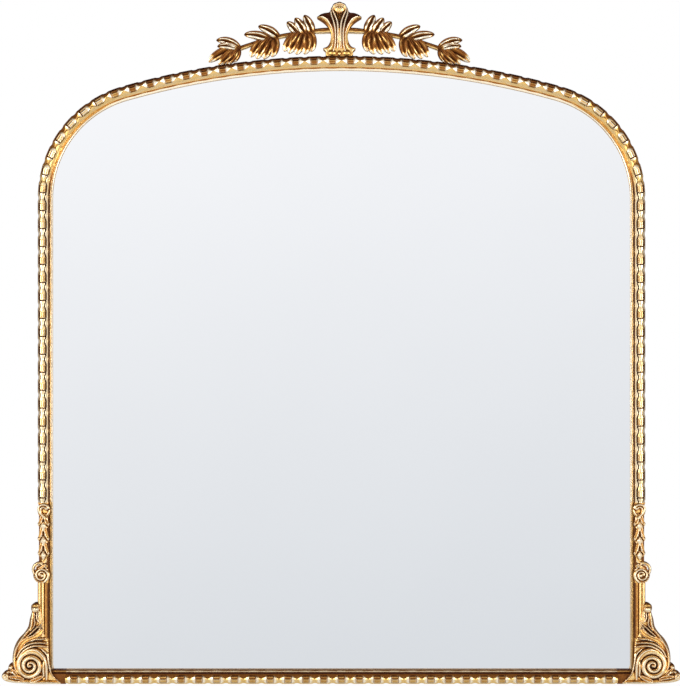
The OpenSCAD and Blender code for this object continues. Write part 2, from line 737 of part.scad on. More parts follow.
// The outer strand, the two leaves under the curl, the fronds over the spiral and the edge on the frame.
STRANDS = [
    [[[-2, 83], [4.8, 77.7], [12.6, 69.9], [18.1, 63.7], [24.4, 55.9], [29, 48.1], [31.2, 40.3], [31.3, 32.4],
        [29.8, 24.6], [26.5, 17.6], [21, 11.5]], 1.9, 6.5],
    [[[7.6, 98], [8.4, 104], [4.6, 108], [-0.6, 107.4], [-2.2, 103.6]], 1.3, 6],
    [[[-6, 80.5], [-2.2, 72.5], [5.6, 66.8], [14.5, 63.5]], 1.4, 5.5],
    [[[-7.2, 75], [0, 66.8], [11, 61.8], [20.3, 56], [25, 49.8], [27.6, 43]], 2.5, 5],
    [[[-13.6, 56], [-3, 57], [8, 55.8], [16.6, 51.6], [22.8, 45.8], [26.4, 39.5]], 1.6, 6.5],
    [[[-14.2, 50.8], [-3, 52], [8.5, 51], [16.6, 46.6], [21.6, 41.6], [24.6, 36]], 1.8, 5.5],
    [[[-11.4, 5], [-11.8, 15], [-11.6, 26]], 2.2, 4.6],
    [[[-14.8, 45], [-14.8, 30], [-16.2, 19.4], [-21.6, 10.8], [-28.6, 5]], 1.4, 4.2],
    [[[19, 6], [8, 3.8], [-3, 4], [-8.6, 6.4]], 2.2, 4.2]
];

module corner_relief() {
    translate(eye) volute(spiral_r, 2, 2.6, 185, 2.9, 2, 5, 8.5);
    for (line = STRANDS) strand(cast(line[0]), line[1] * corner_k, line[2] * corner_k);
    frond(cast([[4.6, 98.5]])[0], cast([[9.8, 76.5]])[0], 2, 2.6, 6);
    frond(cast([[0.8, 98.5]])[0], cast([[-1, 84]])[0], 0.4, 2.2, 5);
    frond(cast([[38, 12]])[0], cast([[18, 7]])[0], -1, 3.6, 6);
    frond(cast([[34.6, 19]])[0], cast([[25.6, 11.4]])[0], 0.6, 2.6, 5.6);
    frond([-13.4, 6.4], [-27, 3.4], 0.4, 2.4, 3.6);
    boss(cast([[2.5, 103]])[0], 5.2, 8.6);
    boss(cast([[42.4, 11]])[0], 5.2, 8);
    boss(cast([[36.2, 20.4]])[0], 3.3, 6);
    boss(eye, 3, 9);
}

module corner_scroll() color(gold) difference() {
    translate([half_w, sill_y, 0]) {
        translate([0, 0, corner_back]) linear_extrude(web_z - corner_back) corner_web_2d();
        translate([0, 0, web_z - 0.6]) corner_relief();
    }
    translate([0, sill_y, -1]) cube([half_w, frame_h / 2, face_z + 1]);
    reeds();
}

module stile_volute() color(gold) difference() {
    translate([half_w - volute_r / 2, sill_y + volute_y, face_z]) small_volute();
    reeds();
}

module small_volute() {
    cylinder(h = 1.8, r = volute_r, $fn = 24);
    translate([0, 0, 1.2]) {
        volute(volute_r - 1.8, 3.2, 1.4, 100, 1.9, 1.3, 2.4, 3.4);
        boss([-1.6, 0.4], 3, 4.8);
        for (a = [-70:20:-10]) boss(volute_r * 0.86 * [cos(a), sin(a)], 1.1, 1.6, 6);
        strand([[volute_r - 1.4, 2], [volute_r - 0.4, 8], [6, 13.6], [0.4, 14.8]], 1.9, 3.4);
        frond([6, 5], [0, 14.8], 1, 2.6, 3);
        frond([-1, 6], [-4.4, 15.4], -1, 2.6, 3);
        frond([1.4, -7], [3, -13.4], 0, 2, 2.4, 4);
    }
}

husk_low = volute_y + volute_r + 7;
husk_part = [14, 20, 21, 23];
husk_unit = (husk_top - husk_low) / 78;

// A bell-shaped husk with its mouth down: two leaves that flare at their tips, over a pyramid and a tongue.
module husk(length) {
    linear_extrude(1.8) link_2d([0, 4.2], 5.4, [0, length - 2.5], 3);
    translate([0, 0, 1]) {
        for (side = [-1, 1]) frond([side * 1.6, length], [side * 6, 0.4], side * -0.8, 2.3, 3.8, 3, false);
        frond([0, length * 0.55], [0, -0.4], 0, 1.9, 3, 3, false);
        translate([0, length * 0.66, 0.6]) scale([1, 1.7, 1]) hull() {
            cylinder(h = 0.6, r = 2.7, $fn = 4);
            translate([0, 0, 3.5]) cube([0.1, 0.1, 0.2], center = true);
        }
    }
}

module husk_drop() color(gold) translate([half_w - chain_u, sill_y + husk_low, face_z]) {
    starts = [for (i = 0, y = 0; i < 4; y = y + husk_part[i] * husk_unit, i = i + 1) y];
    for (i = [0:2]) translate([0, starts[i], 0]) husk(husk_part[i] * husk_unit + 1);
    translate([0, starts[3], 0]) {
        linear_extrude(1.8) link_2d([0, 5], 4.6, [1, 16], 5);
        translate([0, 0, 1]) {
            strand([[-3, 1], [2.4, 8], [6.2, 14], [4.4, 20], [-1, 20.6], [-2.6, 16.4], [0.8, 12]], 1.9, 4.2);
            strand([[3.6, 2], [-2, 7.4], [-4.4, 12.6]], 2, 3.4);
            boss([-4, 14], 2.4, 3.8);
            frond([0.6, 13], [-4, 3], 1, 2, 3, 4);
        }
    }
}

module left() mirror([1, 0, 0]) children();

on_wall() crown_rail();
on_wall() left() shoulder_rail();  // shoulder_rail_left
on_wall() shoulder_rail();  // shoulder_rail_right
on_wall() left() stile();  // stile_left
on_wall() stile();  // stile_right
on_wall() bottom_rail();
on_wall() crest_palmette();
on_wall() left() crest_stem();  // crest_stem_left
on_wall() crest_stem();  // crest_stem_right
on_wall() left() leaf_spray(INNER);  // leaf_spray_inner_left
on_wall() left() leaf_spray(MIDDLE);  // leaf_spray_middle_left
on_wall() left() leaf_spray(OUTER);  // leaf_spray_outer_left
on_wall() leaf_spray(INNER);  // leaf_spray_inner_right
on_wall() leaf_spray(MIDDLE);  // leaf_spray_middle_right
on_wall() leaf_spray(OUTER);  // leaf_spray_outer_right
on_wall() left() corner_scroll();  // corner_scroll_left
on_wall() corner_scroll();  // corner_scroll_right
on_wall() left() stile_volute();  // stile_volute_left
on_wall() stile_volute();  // stile_volute_right
on_wall() left() husk_drop();  // husk_drop_left
on_wall() husk_drop();  // husk_drop_right
on_wall() mirror_glass();
on_wall() glazing_tape();
on_wall() setting_blocks();
on_wall() back_board();
on_wall() board_clips();
on_wall() clip_screws();
on_wall() corner_plates();
on_wall() splice_plates();
on_wall() plate_screws();
on_wall() crest_plate();
on_wall() crest_screws();
on_wall() left() hanger_strap();  // hanger_strap_left
on_wall() hanger_strap();  // hanger_strap_right
on_wall() hanger_screws();
on_wall() left() hanger_ring();  // hanger_ring_left
on_wall() hanger_ring();  // hanger_ring_right
on_wall() wall_bumpers();
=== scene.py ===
"""An arched wall mirror: its gilded moulding, carved crest and corners, glass, back and fittings.

Every shape is drawn flat on its back, in millimetres: x to the right, y up and z out from the back
plane, with y = 0 on the line of the two ring pivots. to_row() stands it up in metres.
"""

import math

import bpy
import numpy as np
from bpy.props import FloatProperty, FloatVectorProperty, IntProperty, PointerProperty
from bpy.types import Operator, Panel, PropertyGroup
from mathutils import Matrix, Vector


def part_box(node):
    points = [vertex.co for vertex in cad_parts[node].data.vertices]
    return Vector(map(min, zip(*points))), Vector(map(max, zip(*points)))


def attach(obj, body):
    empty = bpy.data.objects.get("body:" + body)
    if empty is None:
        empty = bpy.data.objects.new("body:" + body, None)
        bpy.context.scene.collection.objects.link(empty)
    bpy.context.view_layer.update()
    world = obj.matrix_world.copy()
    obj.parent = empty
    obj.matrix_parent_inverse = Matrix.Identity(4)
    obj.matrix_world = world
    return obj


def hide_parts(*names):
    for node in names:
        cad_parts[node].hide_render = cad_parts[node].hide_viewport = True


bl_info = {
    "name": "Arched Wall Mirror",
    "version": (1, 0, 0),
    "blender": (4, 5, 0),
    "location": "View3D > Sidebar > Wall Mirror",
    "description": "Builds the gilded moulding, carvings, glass, back and studio of an arched wall mirror",
    "category": "Object",
}

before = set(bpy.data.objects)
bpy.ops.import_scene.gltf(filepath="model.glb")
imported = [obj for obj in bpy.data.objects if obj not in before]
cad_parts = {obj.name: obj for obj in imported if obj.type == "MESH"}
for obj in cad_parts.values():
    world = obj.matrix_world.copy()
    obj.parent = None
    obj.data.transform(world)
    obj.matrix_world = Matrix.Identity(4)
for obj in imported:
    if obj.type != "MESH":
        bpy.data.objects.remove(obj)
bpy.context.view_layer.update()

# Millimetres to the metre
MM = 1000.0

# The left pieces are mirror images of the right ones
SIDES = (("left", True), ("right", False))

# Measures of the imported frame, in millimetres. BUMPER is the gap between the wall and the rails, INSET how
# far the glass ends inside the rails, SPRING_Y the level at which the stiles turn into the shoulders, and
# JOIN_A the lean of the joints between shoulders and crown.
BUMPER, INSET = 5.0, 13.6
HALF_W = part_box("stile_right")[1].x * MM
SILL_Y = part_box("bottom_rail")[0].z * MM
CROWN_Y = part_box("mirror_glass")[1].z * MM + INSET
CROWN_R, SHOULDER_R = 1090.0, 158.0
CROWN_CY = CROWN_Y - CROWN_R
SHOULDER_CX = HALF_W - SHOULDER_R
SPRING_Y = CROWN_CY + math.sqrt((CROWN_R - SHOULDER_R) ** 2 - SHOULDER_CX ** 2)
JOIN_A = math.asin(SHOULDER_CX / (CROWN_R - SHOULDER_R))

# Heights over the back of the rails: the back of the glass lip, the foot of the outer wall, the face and
# the middle of the beads
LIP_Z, SHELL_Z, FACE_Z = 11.0, 14.6, 20.0
BEAD_Z = FACE_Z + 2.2

# Distances from a rail's outer edge: the edge at the glass, the rebate's wall, the back's wall and the
# line of the bead chain
RAIL_W, LAND_W, BACK_U, CHAIN_U = 19.0, 12.6, 1.8, 7.1

# Heights over the foot of a stile: the mitre's end, the top of the plain seat and both ends of the reeds
FOOT_W, HUSK_TOP, REED_FOOT, REED_HEAD = 38.0, 246.0, 62.0, 137.2

# The three reeds: the distance between their lines and their radius
REED_GAP, REED_R = 4.5, 2.1


def srgb(r, g, b):
    """A colour from 0 to 255 per channel as linear light: the curve of a display undone."""
    c = np.array([r, g, b], float) / 255
    return tuple(np.where(c <= 0.04045, c / 12.92, ((c + 0.055) / 1.055) ** 2.4)) + (1.0,)


# Sizes and colours that a user may change


def length(name, description, default, low, high):
    """A size property in metres, shown in the scene's unit."""
    return FloatProperty(name=name, description=description, default=default, min=low, max=high,
                         unit="LENGTH", precision=5)


def colour(name, description, rgb):
    """A colour property in linear light, given as display values."""
    return FloatVectorProperty(name=name, description=description, default=srgb(*rgb)[:3], size=3,
                               min=0.0, max=1.0, subtype="COLOR")


class MouldingSettings(PropertyGroup):
    bead_radius: length("Bead radius", "Radius of a bead's barrel", 0.0048, 0.003, 0.0052)
    barrel: length("Barrel length", "Length of a bead's barrel", 0.0088, 0.008, 0.011)
    bead_length: length("Bead length", "Length of a bead from tip to tip", 0.022, 0.019, 0.0226)
    pitch: length("Bead pitch", "Distance from bead to bead, before it is rounded", 0.0244, 0.024, 0.03)
    scoop: length("Scoop depth", "How deep the band is scooped beside a waist", 0.001, 0.0005, 0.0018)
    flutes: IntProperty(name="Flutes", description="Flutes round a bead's barrel", default=8, min=4, max=14)
    flute_depth: length("Flute depth", "Depth of the barrel's flutes", 0.00035, 0.0, 0.0006)


class OrnamentSettings(PropertyGroup):
    step: length("Carving step", "Distance between the points of a carved surface", 0.0004, 0.0003,
                 0.001)
    relief: FloatProperty(name="Relief", description="Height of the carving, as a share of the original",
                          default=1.0, min=0.6, max=1.2)
    leaf_rise: length("Leaf height", "Thickness of a leaf at its highest", 0.0062, 0.004, 0.0075)
    stem_radius: length("Stem radius", "Radius of the leaf stems", 0.0034, 0.002, 0.0042)


class FinishSettings(PropertyGroup):
    # Deep and warm are dark wax and bole and also paint shade, and pale is rubbed gold and also paints
    # highlights
    deep: colour("Deep colour", "Dark wax and bole that stay in the hollows", (60, 24, 6))
    warm: colour("Warm colour", "Bole that shows through on the lower gilding", (158, 98, 40))
    gold: colour("Gold colour", "Gilding between the hollows and the rubbed tops", (246, 202, 122))
    pale: colour("Pale colour", "Rubbed tops of the carving", (255, 246, 226))
    silver: colour("Silver colour", "Tint of the silvered glass", (254, 254, 255))
    steel: colour("Steel colour", "Zinc-plated fittings", (178, 181, 186))
    board: colour("Board colour", "Fibreboard of the back", (150, 118, 82))
    rubber: colour("Rubber colour", "Bumpers and setting blocks", (38, 38, 40))
    foam: colour("Foam colour", "Foam tape behind the lip", (70, 72, 76))


class StudioSettings(PropertyGroup):
    distance: length("Camera distance", "From the camera to the front of the frame", 2.589, 1.5, 6.0)
    focal: FloatProperty(name="Focal length", description="Lens of the camera in millimetres",
                         default=100.3, min=50.0, max=200.0)
    floor: colour("Floor colour", "Pale floor under the mirror", (216, 221, 224))
    fill: FloatProperty(name="Fill light", description="Strength of the even light on matt surfaces",
                        default=0.75, min=0.0, max=2.0)
    lamp: FloatProperty(name="Lamp power", description="Power of each soft lamp", default=24.0, min=0.0,
                        max=60.0, unit="POWER")


# Meshes


def to_row(flat):
    """Flat-frame millimetres to row-frame metres: x stays, z points to the room, and y points up."""
    return np.stack([flat[:, 0], -(BUMPER + flat[:, 2]), flat[:, 1]], 1) / MM


def grid_quads(rows, cols, wrap=False):
    """Corner numbers of the faces of a rows by cols grid, row by row. wrap joins the last column to the
    first."""
    i = np.arange(rows - 1)[:, None] * cols
    j = np.arange(cols if wrap else cols - 1)
    k = (j + 1) % cols
    return np.stack([i + j, i + k, i + cols + k, i + cols + j], -1).reshape(-1, 4)


def tube(points, tone):
    """A closed surface from rings of points: points is rings by corners by 3. The ends get flat caps."""
    rows, cols = points.shape[:2]
    caps = [np.arange(cols)[::-1], np.arange(cols) + (rows - 1) * cols]
    return points.reshape(-1, 3), [grid_quads(rows, cols, True), *caps], tone.ravel()


def volume(points, quads):
    """Six times the volume inside quads: the sum of each half face's triple product with the middle."""
    p = points - points.mean(0)
    a, b, c, d = (p[quads[:, k]] for k in range(4))
    return (np.einsum("ij,ij->i", a, np.cross(b, c)) + np.einsum("ij,ij->i", a, np.cross(c, d))).sum()


def join(parts, mirrored=False):
    """Joins (points, faces, tone) parts into one list of points, faces and tones, faces outwards.
    mirrored turns the result over the middle of the frame."""
    points, faces, tones, base = [], [], [], 0
    for p, fs, t in parts:
        p = p * [-1, 1, 1] if mirrored else p
        turn = volume(p, fs[0]) < 0
        for f in fs:
            f = np.atleast_2d(f)
            faces += ((f[:, ::-1] if turn else f) + base).tolist()
        points.append(p)
        tones.append(t)
        base += len(p)
    return np.concatenate(points), faces, np.concatenate(tones)


def piece(name, parts, material, replaced, mirrored=False, crease=40):
    """Puts joined parts into a mesh in the row frame, with each point's tone as an attribute, and
    makes the piece stand for the CAD nodes that it replaces."""
    points, faces, tones = join(parts, mirrored)
    mesh = bpy.data.meshes.new(name)
    mesh.from_pydata(to_row(points), [], faces)
    tone = mesh.attributes.new("tone", "FLOAT", "POINT")
    tone.data.foreach_set("value", np.clip(tones, 0, 1).astype(np.float32))
    mesh.shade_smooth()
    mesh.set_sharp_from_angle(angle=math.radians(crease))
    mesh.materials.append(material)
    made = bpy.data.objects.new(name, mesh)
    bpy.context.scene.collection.objects.link(made)
    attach(made, "frame")
    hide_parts(*replaced)
    return made


def smooth(low, high, x):
    """0 below low, 1 above high and an even S between them."""
    t = np.clip((x - low) / (high - low), 0, 1)
    return t * t * (3 - 2 * t)


# Materials


def new_group(name, inputs, outputs):
    """An empty shader node group with these sockets, and its input and output nodes."""
    tree = bpy.data.node_groups.new(name, "ShaderNodeTree")
    for way, sockets in (("INPUT", inputs), ("OUTPUT", outputs)):
        for label, kind, value in sockets:
            socket = tree.interface.new_socket(label, in_out=way, socket_type="NodeSocket" + kind)
            if value is not None and way == "INPUT":
                socket.default_value = value
    return tree, tree.nodes.new("NodeGroupInput"), tree.nodes.new("NodeGroupOutput")


def feed(tree, socket, value):
    """Links an output to an input, or sets the input to a constant."""
    if isinstance(value, bpy.types.NodeSocket):
        tree.links.new(value, socket)
    else:
        socket.default_value = value


def node(tree, kind, settings=None, **inputs):
    """Adds a node, sets its options and feeds its inputs, which go by name or, as i0 or i1, by place."""
    made = tree.nodes.new("ShaderNode" + kind)
    for key, value in (settings or {}).items():
        setattr(made, key, value)
    for key, value in inputs.items():
        spot = int(key[1:]) if key[0] == "i" and key[1:].isdigit() else key.replace("_", " ")
        feed(tree, made.inputs[spot], value)
    return made


def maths(tree, operation, a, b=0.0, c=0.0, clamp=False):
    """One Math node's result."""
    return node(tree, "Math", {"operation": operation, "use_clamp": clamp}, i0=a, i1=b, i2=c).outputs[0]


def spread(tree, value, low, high, start=0.0, end=1.0):
    """Value moved from the span low to high onto the span start to end, clamped."""
    return node(tree, "MapRange", None, Value=value, From_Min=low, From_Max=high, To_Min=start,
                To_Max=end).outputs[0]


def blend_colour(tree, share, a, b):
    """Colour a where share is 0 and b where it is 1. The Mix node's colours have the places 6, 7 and 2."""
    return node(tree, "Mix", {"data_type": "RGBA"}, i0=share, i6=a, i7=b).outputs[2]


def noise(tree, coordinates, scale, detail=4.0, roughness=0.55):
    """Cloudy noise of this many lumps to the metre."""
    made = node(tree, "TexNoise", None, Vector=coordinates, Scale=scale, Detail=detail, Roughness=roughness)
    return made.outputs[0]


def use_group(tree, group, **values):
    """Places a shader node group in a material, with its own values."""
    used = tree.nodes.new("ShaderNodeGroup")
    used.node_tree = group
    for key, value in values.items():
        feed(tree, used.inputs[key.replace("_", " ")], value)
    return used


def material(name, **constants):
    """A material whose Principled shader has these constants, with its tree and shader node."""
    made = bpy.data.materials.new(name)
    made.use_nodes = True
    tree = made.node_tree
    shader = tree.nodes["Principled BSDF"]
    for key, value in constants.items():
        shader.inputs[key.replace("_", " ")].default_value = value
    return made, tree, shader


def bump(tree, shader, height, strength, depth):
    """Feeds a Bump node of this depth in metres into the shader's normal."""
    made = node(tree, "Bump", None, Strength=strength, Distance=depth, Height=height)
    tree.links.new(made.outputs[0], shader.inputs["Normal"])


def aged_gilding_group():
    """Water gilding that dark wax has settled in, with painted light: the tone attribute says how far a
    point stands proud and carries painted light and shade, clouds break it up, faces that look up get
    painted shade and faces that look down a little painted light, and the sum picks the colour."""
    tree, given, result = new_group(
        "aged_gilding",
        [("Tone", "Float", 0.5), ("Upward wax", "Float", 0.4), ("Cloud", "Float", 0.25),
         ("Deep", "Color", None), ("Warm", "Color", None), ("Gold", "Color", None), ("Pale", "Color", None)],
        [("Color", "Color", None), ("Roughness", "Float", None), ("Metallic", "Float", None),
         ("Height", "Float", None)])
    place = node(tree, "TexCoord").outputs["Object"]
    broad = noise(tree, place, 90.0)
    fine = noise(tree, place, 750.0, 3.0)
    up = node(tree, "SeparateXYZ", None, Vector=node(tree, "NewGeometry").outputs["Normal"]).outputs[2]
    # Painted shade on faces that look up, and a little painted light on faces that look down, by the normal
    shade = maths(tree, "MULTIPLY", spread(tree, up, 0.05, 0.85), given.outputs["Upward wax"])
    painted_light_below = spread(tree, up, -0.1, -0.8, 0.0, 0.1)
    cloud = maths(tree, "MULTIPLY", maths(tree, "SUBTRACT", broad, 0.5), given.outputs["Cloud"])
    grit = maths(tree, "MULTIPLY", maths(tree, "SUBTRACT", fine, 0.5), given.outputs["Cloud"])
    tone = maths(tree, "SUBTRACT", given.outputs["Tone"], shade)
    tone = maths(tree, "ADD", maths(tree, "ADD", tone, painted_light_below), maths(tree, "ADD", cloud, grit), clamp=True)
    low = blend_colour(tree, spread(tree, tone, 0.0, 0.3), given.outputs["Deep"], given.outputs["Warm"])
    mid = blend_colour(tree, spread(tree, tone, 0.3, 0.58), low, given.outputs["Gold"])
    top = blend_colour(tree, spread(tree, tone, 0.58, 0.95), mid, given.outputs["Pale"])
    tree.links.new(top, result.inputs["Color"])
    tree.links.new(spread(tree, tone, 0.0, 0.8, 0.5, 0.24), result.inputs["Roughness"])
    sheen = maths(tree, "SUBTRACT", spread(tree, tone, 0.0, 0.45, 0.05, 0.92),
                  spread(tree, tone, 0.75, 1.0, 0.0, 0.35))
    tree.links.new(sheen, result.inputs["Metallic"])
    tree.links.new(maths(tree, "ADD", fine, maths(tree, "MULTIPLY", broad, 0.6)), result.inputs["Height"])
    return tree


def gilding(name, finish, wax, cloud, warmth):
    """A gilded material with its own share of painted shade on upward faces (the argument wax), its own
    clouds and, by warmth, its own share of the gold colour in the rubbed tops."""
    group = bpy.data.node_groups.get("aged_gilding") or aged_gilding_group()
    made, tree, shader = material(name, Specular_IOR_Level=0.15)
    tone = node(tree, "Attribute", {"attribute_name": "tone"}).outputs["Fac"]
    pale = [a + (b - a) * warmth for a, b in zip(finish.pale, finish.gold)]
    # wax sets how much painted shade falls on faces that look up
    used = use_group(tree, group, Tone=tone, Upward_wax=wax, Cloud=cloud, Deep=(*finish.deep, 1.0),
                     Warm=(*finish.warm, 1.0), Gold=(*finish.gold, 1.0), Pale=(*pale, 1.0))
    tree.links.new(used.outputs["Color"], shader.inputs["Base Color"])
    tree.links.new(used.outputs["Roughness"], shader.inputs["Roughness"])
    tree.links.new(used.outputs["Metallic"], shader.inputs["Metallic"])
    bump(tree, shader, used.outputs["Height"], 0.25, 0.0004)
    return made


def worn_surface_group():
    """Even wear for the plain materials: clouds and fine grit shift a colour between two shades and
    give a roughness and a height."""
    tree, given, result = new_group(
        "worn_surface",
        [("Color", "Color", None), ("Shade", "Color", None), ("Lumps", "Float", 60.0),
         ("Grit", "Float", 900.0), ("Smooth", "Float", 0.3), ("Rough", "Float", 0.6)],
        [("Color", "Color", None), ("Roughness", "Float", None), ("Height", "Float", None)])
    place = node(tree, "TexCoord").outputs["Object"]
    broad = node(tree, "TexNoise", None, Vector=place, Scale=given.outputs["Lumps"], Detail=5.0).outputs[0]
    fine = node(tree, "TexNoise", None, Vector=place, Scale=given.outputs["Grit"], Detail=3.0).outputs[0]
    mix = maths(tree, "ADD", maths(tree, "MULTIPLY", broad, 0.6), maths(tree, "MULTIPLY", fine, 0.4))
    share = spread(tree, mix, 0.35, 0.65)
    tree.links.new(blend_colour(tree, share, given.outputs["Color"], given.outputs["Shade"]),
                   result.inputs["Color"])
    rough = node(tree, "MapRange", None, Value=mix, From_Min=0.35, From_Max=0.65,
                 To_Min=given.outputs["Smooth"], To_Max=given.outputs["Rough"]).outputs[0]
    tree.links.new(rough, result.inputs["Roughness"])
    tree.links.new(mix, result.inputs["Height"])
    return tree


def worn(name, base, darker, lumps, grit, smoothest, roughest, depth, metallic):
    """A plain material with even wear: base colour, how much darker its shade is, lumps and grit to the
    metre, lowest and highest roughness, the height of the wear in metres, and 1 for metal."""
    group = bpy.data.node_groups.get("worn_surface") or worn_surface_group()
    made, tree, shader = material(name, Metallic=metallic)
    used = use_group(tree, group, Color=(*base, 1.0), Shade=(*[c * darker for c in base], 1.0), Lumps=lumps,
                     Grit=grit, Smooth=smoothest, Rough=roughest)
    tree.links.new(used.outputs["Color"], shader.inputs["Base Color"])
    tree.links.new(used.outputs["Roughness"], shader.inputs["Roughness"])
    bump(tree, shader, used.outputs["Height"], 0.4, depth)
    return made


def dress(nodes, made):
    """Gives these CAD nodes a material and leaves their meshes alone."""
    for name in nodes:
        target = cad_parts[name]
        target.data.materials.clear()
        target.data.materials.append(made)


# Moulding


def bead_rows(count, pitch, m):
    """Places along a chain at which rows are cut: the same few on each bead, close together at the
    barrel's ring and its quirk, and one on each waist. half gives them from a bead's middle on."""
    barrel = m.barrel * MM / 2
    tip = m.bead_length * MM / 2
    half = np.array([0, 1.3, 2.6, barrel - 0.65, barrel - 0.4, barrel - 0.05, barrel + 0.15, barrel + 0.6,
                     barrel + 0.75, 6.2, 7.2, 8.2, 9.2, 10.1, tip - 0.1, tip + 0.55])
    knots = np.concatenate([-half[:0:-1], half])
    middles = (np.arange(count) + 0.5) * pitch
    rows = (middles[:, None] + knots).ravel()
    return np.sort(np.concatenate([rows, np.arange(count + 1) * pitch]))


# How many columns a side of the band, or an outer reed, and a bead get
CORD_COLS, BEAD_COLS = 10, 21

# The sides of the band, quarters of ellipses: the height of their feet and their rise over them, and the
# half width of the inner one, which the scoop cuts by less. WALL_TOP is the outer wall's top under them.
OUTER_FOOT, OUTER_RISE, WALL_TOP = 18.9, 5.3, 18.6
INNER_FOOT, INNER_RISE, INNER_HALF, INNER_SCOOP = 16.3, 7.9, 8.1, 0.75

# The chain: the radius of a scoop, the rise of the ring at a barrel's end, the quirk before a barrel, the
# pocket's floor beside it, and the middle of the cones with their height as a share of a round one
SCOOP_R, RING_RISE, QUIRK = 9.0, 0.15, 0.7
POCKET_Z, CONE_Z, CONE_HEIGHT = FACE_Z + 1.2, FACE_Z + 5.2, 0.36

# From a bead's middle: where the groove narrows, and where a cone takes the waist's tone. LEDGE is how far
# a pocket's floor stays inside the band, and SLIT how far it stays off the bead.
GROOVE_SPAN, CONE_SPAN = (6.5, 9), (7.5, 9.5)
LEDGE, SLIT = 0.1, 0.08

# The plain face: the bevel of its edge, the flats between the reeds, where its narrowing ends, how light the
# reeds' ridges are, and how much of its painted light and shade the sight edge keeps
BEVEL, FLATS, SEAT_END = (0.12, 0.15), ((4.76, 4.84), (9.36, 9.44)), 14
REED_TONES, SIGHT_DIM = (0.6, 0.6, 0.3), {"stile": 0.75, "bottom": 0.45}


def reed(middle, rise, cols):
    """A reed at each row: u goes from side to side by the cosine, and z is the face plus rise times the
    sine. Returns u, z and the share of the height."""
    q = np.linspace(0, 1, cols)
    across = (1 - np.cos(np.pi * q)) / 2
    share = np.clip(np.sin(np.pi * q), 0, 1)
    u = middle - REED_R + 2 * REED_R * across + 0 * rise[:, None]
    return u, FACE_Z + rise[:, None] * share, np.broadcast_to(share, u.shape)


def side_of_band(edge, half, foot, rise, side, tones):
    """One side of the band at each row, from its foot to the bead's edge: a quarter of an ellipse, half
    wide and rise high over the foot, cut off at the distance edge from the chain's line. tones are the
    tone beside the bead, the one at the foot and the distance at which they change."""
    first = np.arcsin(np.clip(edge / half, 0, 0.98))
    angle = np.pi / 2 + (first - np.pi / 2)[:, None] * np.linspace(0, 1, CORD_COLS)
    u = CHAIN_U + side * half[:, None] * np.sin(angle)
    z = foot + rise * np.cos(angle)
    beside, at_foot, change = (x[:, None] for x in tones)
    tone = beside + (at_foot - beside) * smooth(change - 0.4, change + 0.4, np.abs(u - CHAIN_U))
    return (u, z, tone) if side < 0 else (u[:, ::-1], z[:, ::-1], tone[:, ::-1])


# The sight edge: the places of its columns, its heights on the stiles and elsewhere, and the wave along it
# with its middle and breadth
SIGHT_U = np.array([15.35, 15.6, 15.95, 16.35, 16.8, 17.2, 17.5, 17.75, 18.05, 18.4, 18.75, 18.95, 19.0])
SIGHT_RIDGE = np.array([15.9, 15.4, 15.7, 15.9, 15.8, 15.4, 15.0, 15.0, 15.3, 15.4, 15.3, 14.4, 13.2])
SIGHT_FLAT = np.array([15.9, 15.3, 15.2, 15.4, 15.5, 15.5, 15.5, 15.5, 15.5, 15.4, 15.2, 14.2, 13.2])
WAVE_RISE, WAVE_U, WAVE_BREADTH = 0.3, 16.6, 0.9

# How each kind of chain looks, by measure. A tone of 0 gives the deep colour and 1 the pale one: dark wax
# and rubbed gold, and also painted shade and painted highlights.
KINDS = ("crown", "shoulder", "stile", "bottom")
LOOK_TABLE = {
    # Much of these tones is painted light: the same parts are darker or lighter on each rail by which way
    # they face, the cones carry painted highlights, and the quirk after a barrel on the stiles and shoulders
    # is a painted shadow
    "barrel": (0.3, 0.8, 0.64, 0.47),  # tones: the barrel
    "cone_before": (1.0, 0.95, 0.72, 0.92),  # the cone before it
    "cone_after": (1.0, 0.8, 0.76, 0.92),  # the cone after it
    "quirk_before": (0.3, 0.8, 0.5, 0.25),  # the quirk before it
    "quirk_after": (0.3, 0.0, 0.0, 0.25),  # the quirk after it
    "waist_tone": (0.8, 0.4, 0.76, 0.62),  # the waist
    "groove_tone": (0.45, 0.1, 0.0, 0.45),  # the groove beside cones and waist
    "outer": (0.34, 0.42, 0.8, 0.55),  # the band's outer side beside the bead
    "outer_foot": (0.2, 0.0, 0.0, 0.57),  # and at its foot
    "inner": (0.57, 0.56, 0.8, 0.45),  # the band's inner side beside the bead
    "inner_foot": (0.54, 0.5, 0.0, 0.14),  # and at its foot
    "waist": (0.3, 1.4, 2.2, 1.9),  # sizes in millimetres: half width of the waist
    "groove": (0.25, 0.7, 1.7, 0.25),  # width of the groove
    "groove_z": (3.4, 2.4, 2.0, 3.4),  # height of its floor over the face
    "outer_at": (5.6, 6.6, 6.3, 6.5),  # where the outer side changes its tone
    "inner_at": (7.4, 7.0, 6.9, 6.6),  # where the inner side does
    "bead": (1.0, 0.94, 0.79, 1.07),  # shares of the bead's radius: the bead
    "stop_before": (0.86, 0.99, 0.99, 0.88),  # the quirk before the barrel
    "stop_after": (0.86, 0.8, 0.8, 0.88),  # the quirk after it
    "quirk": (0.7, 1.5, 1.5, 0.7),  # the length of that quirk in millimetres
}

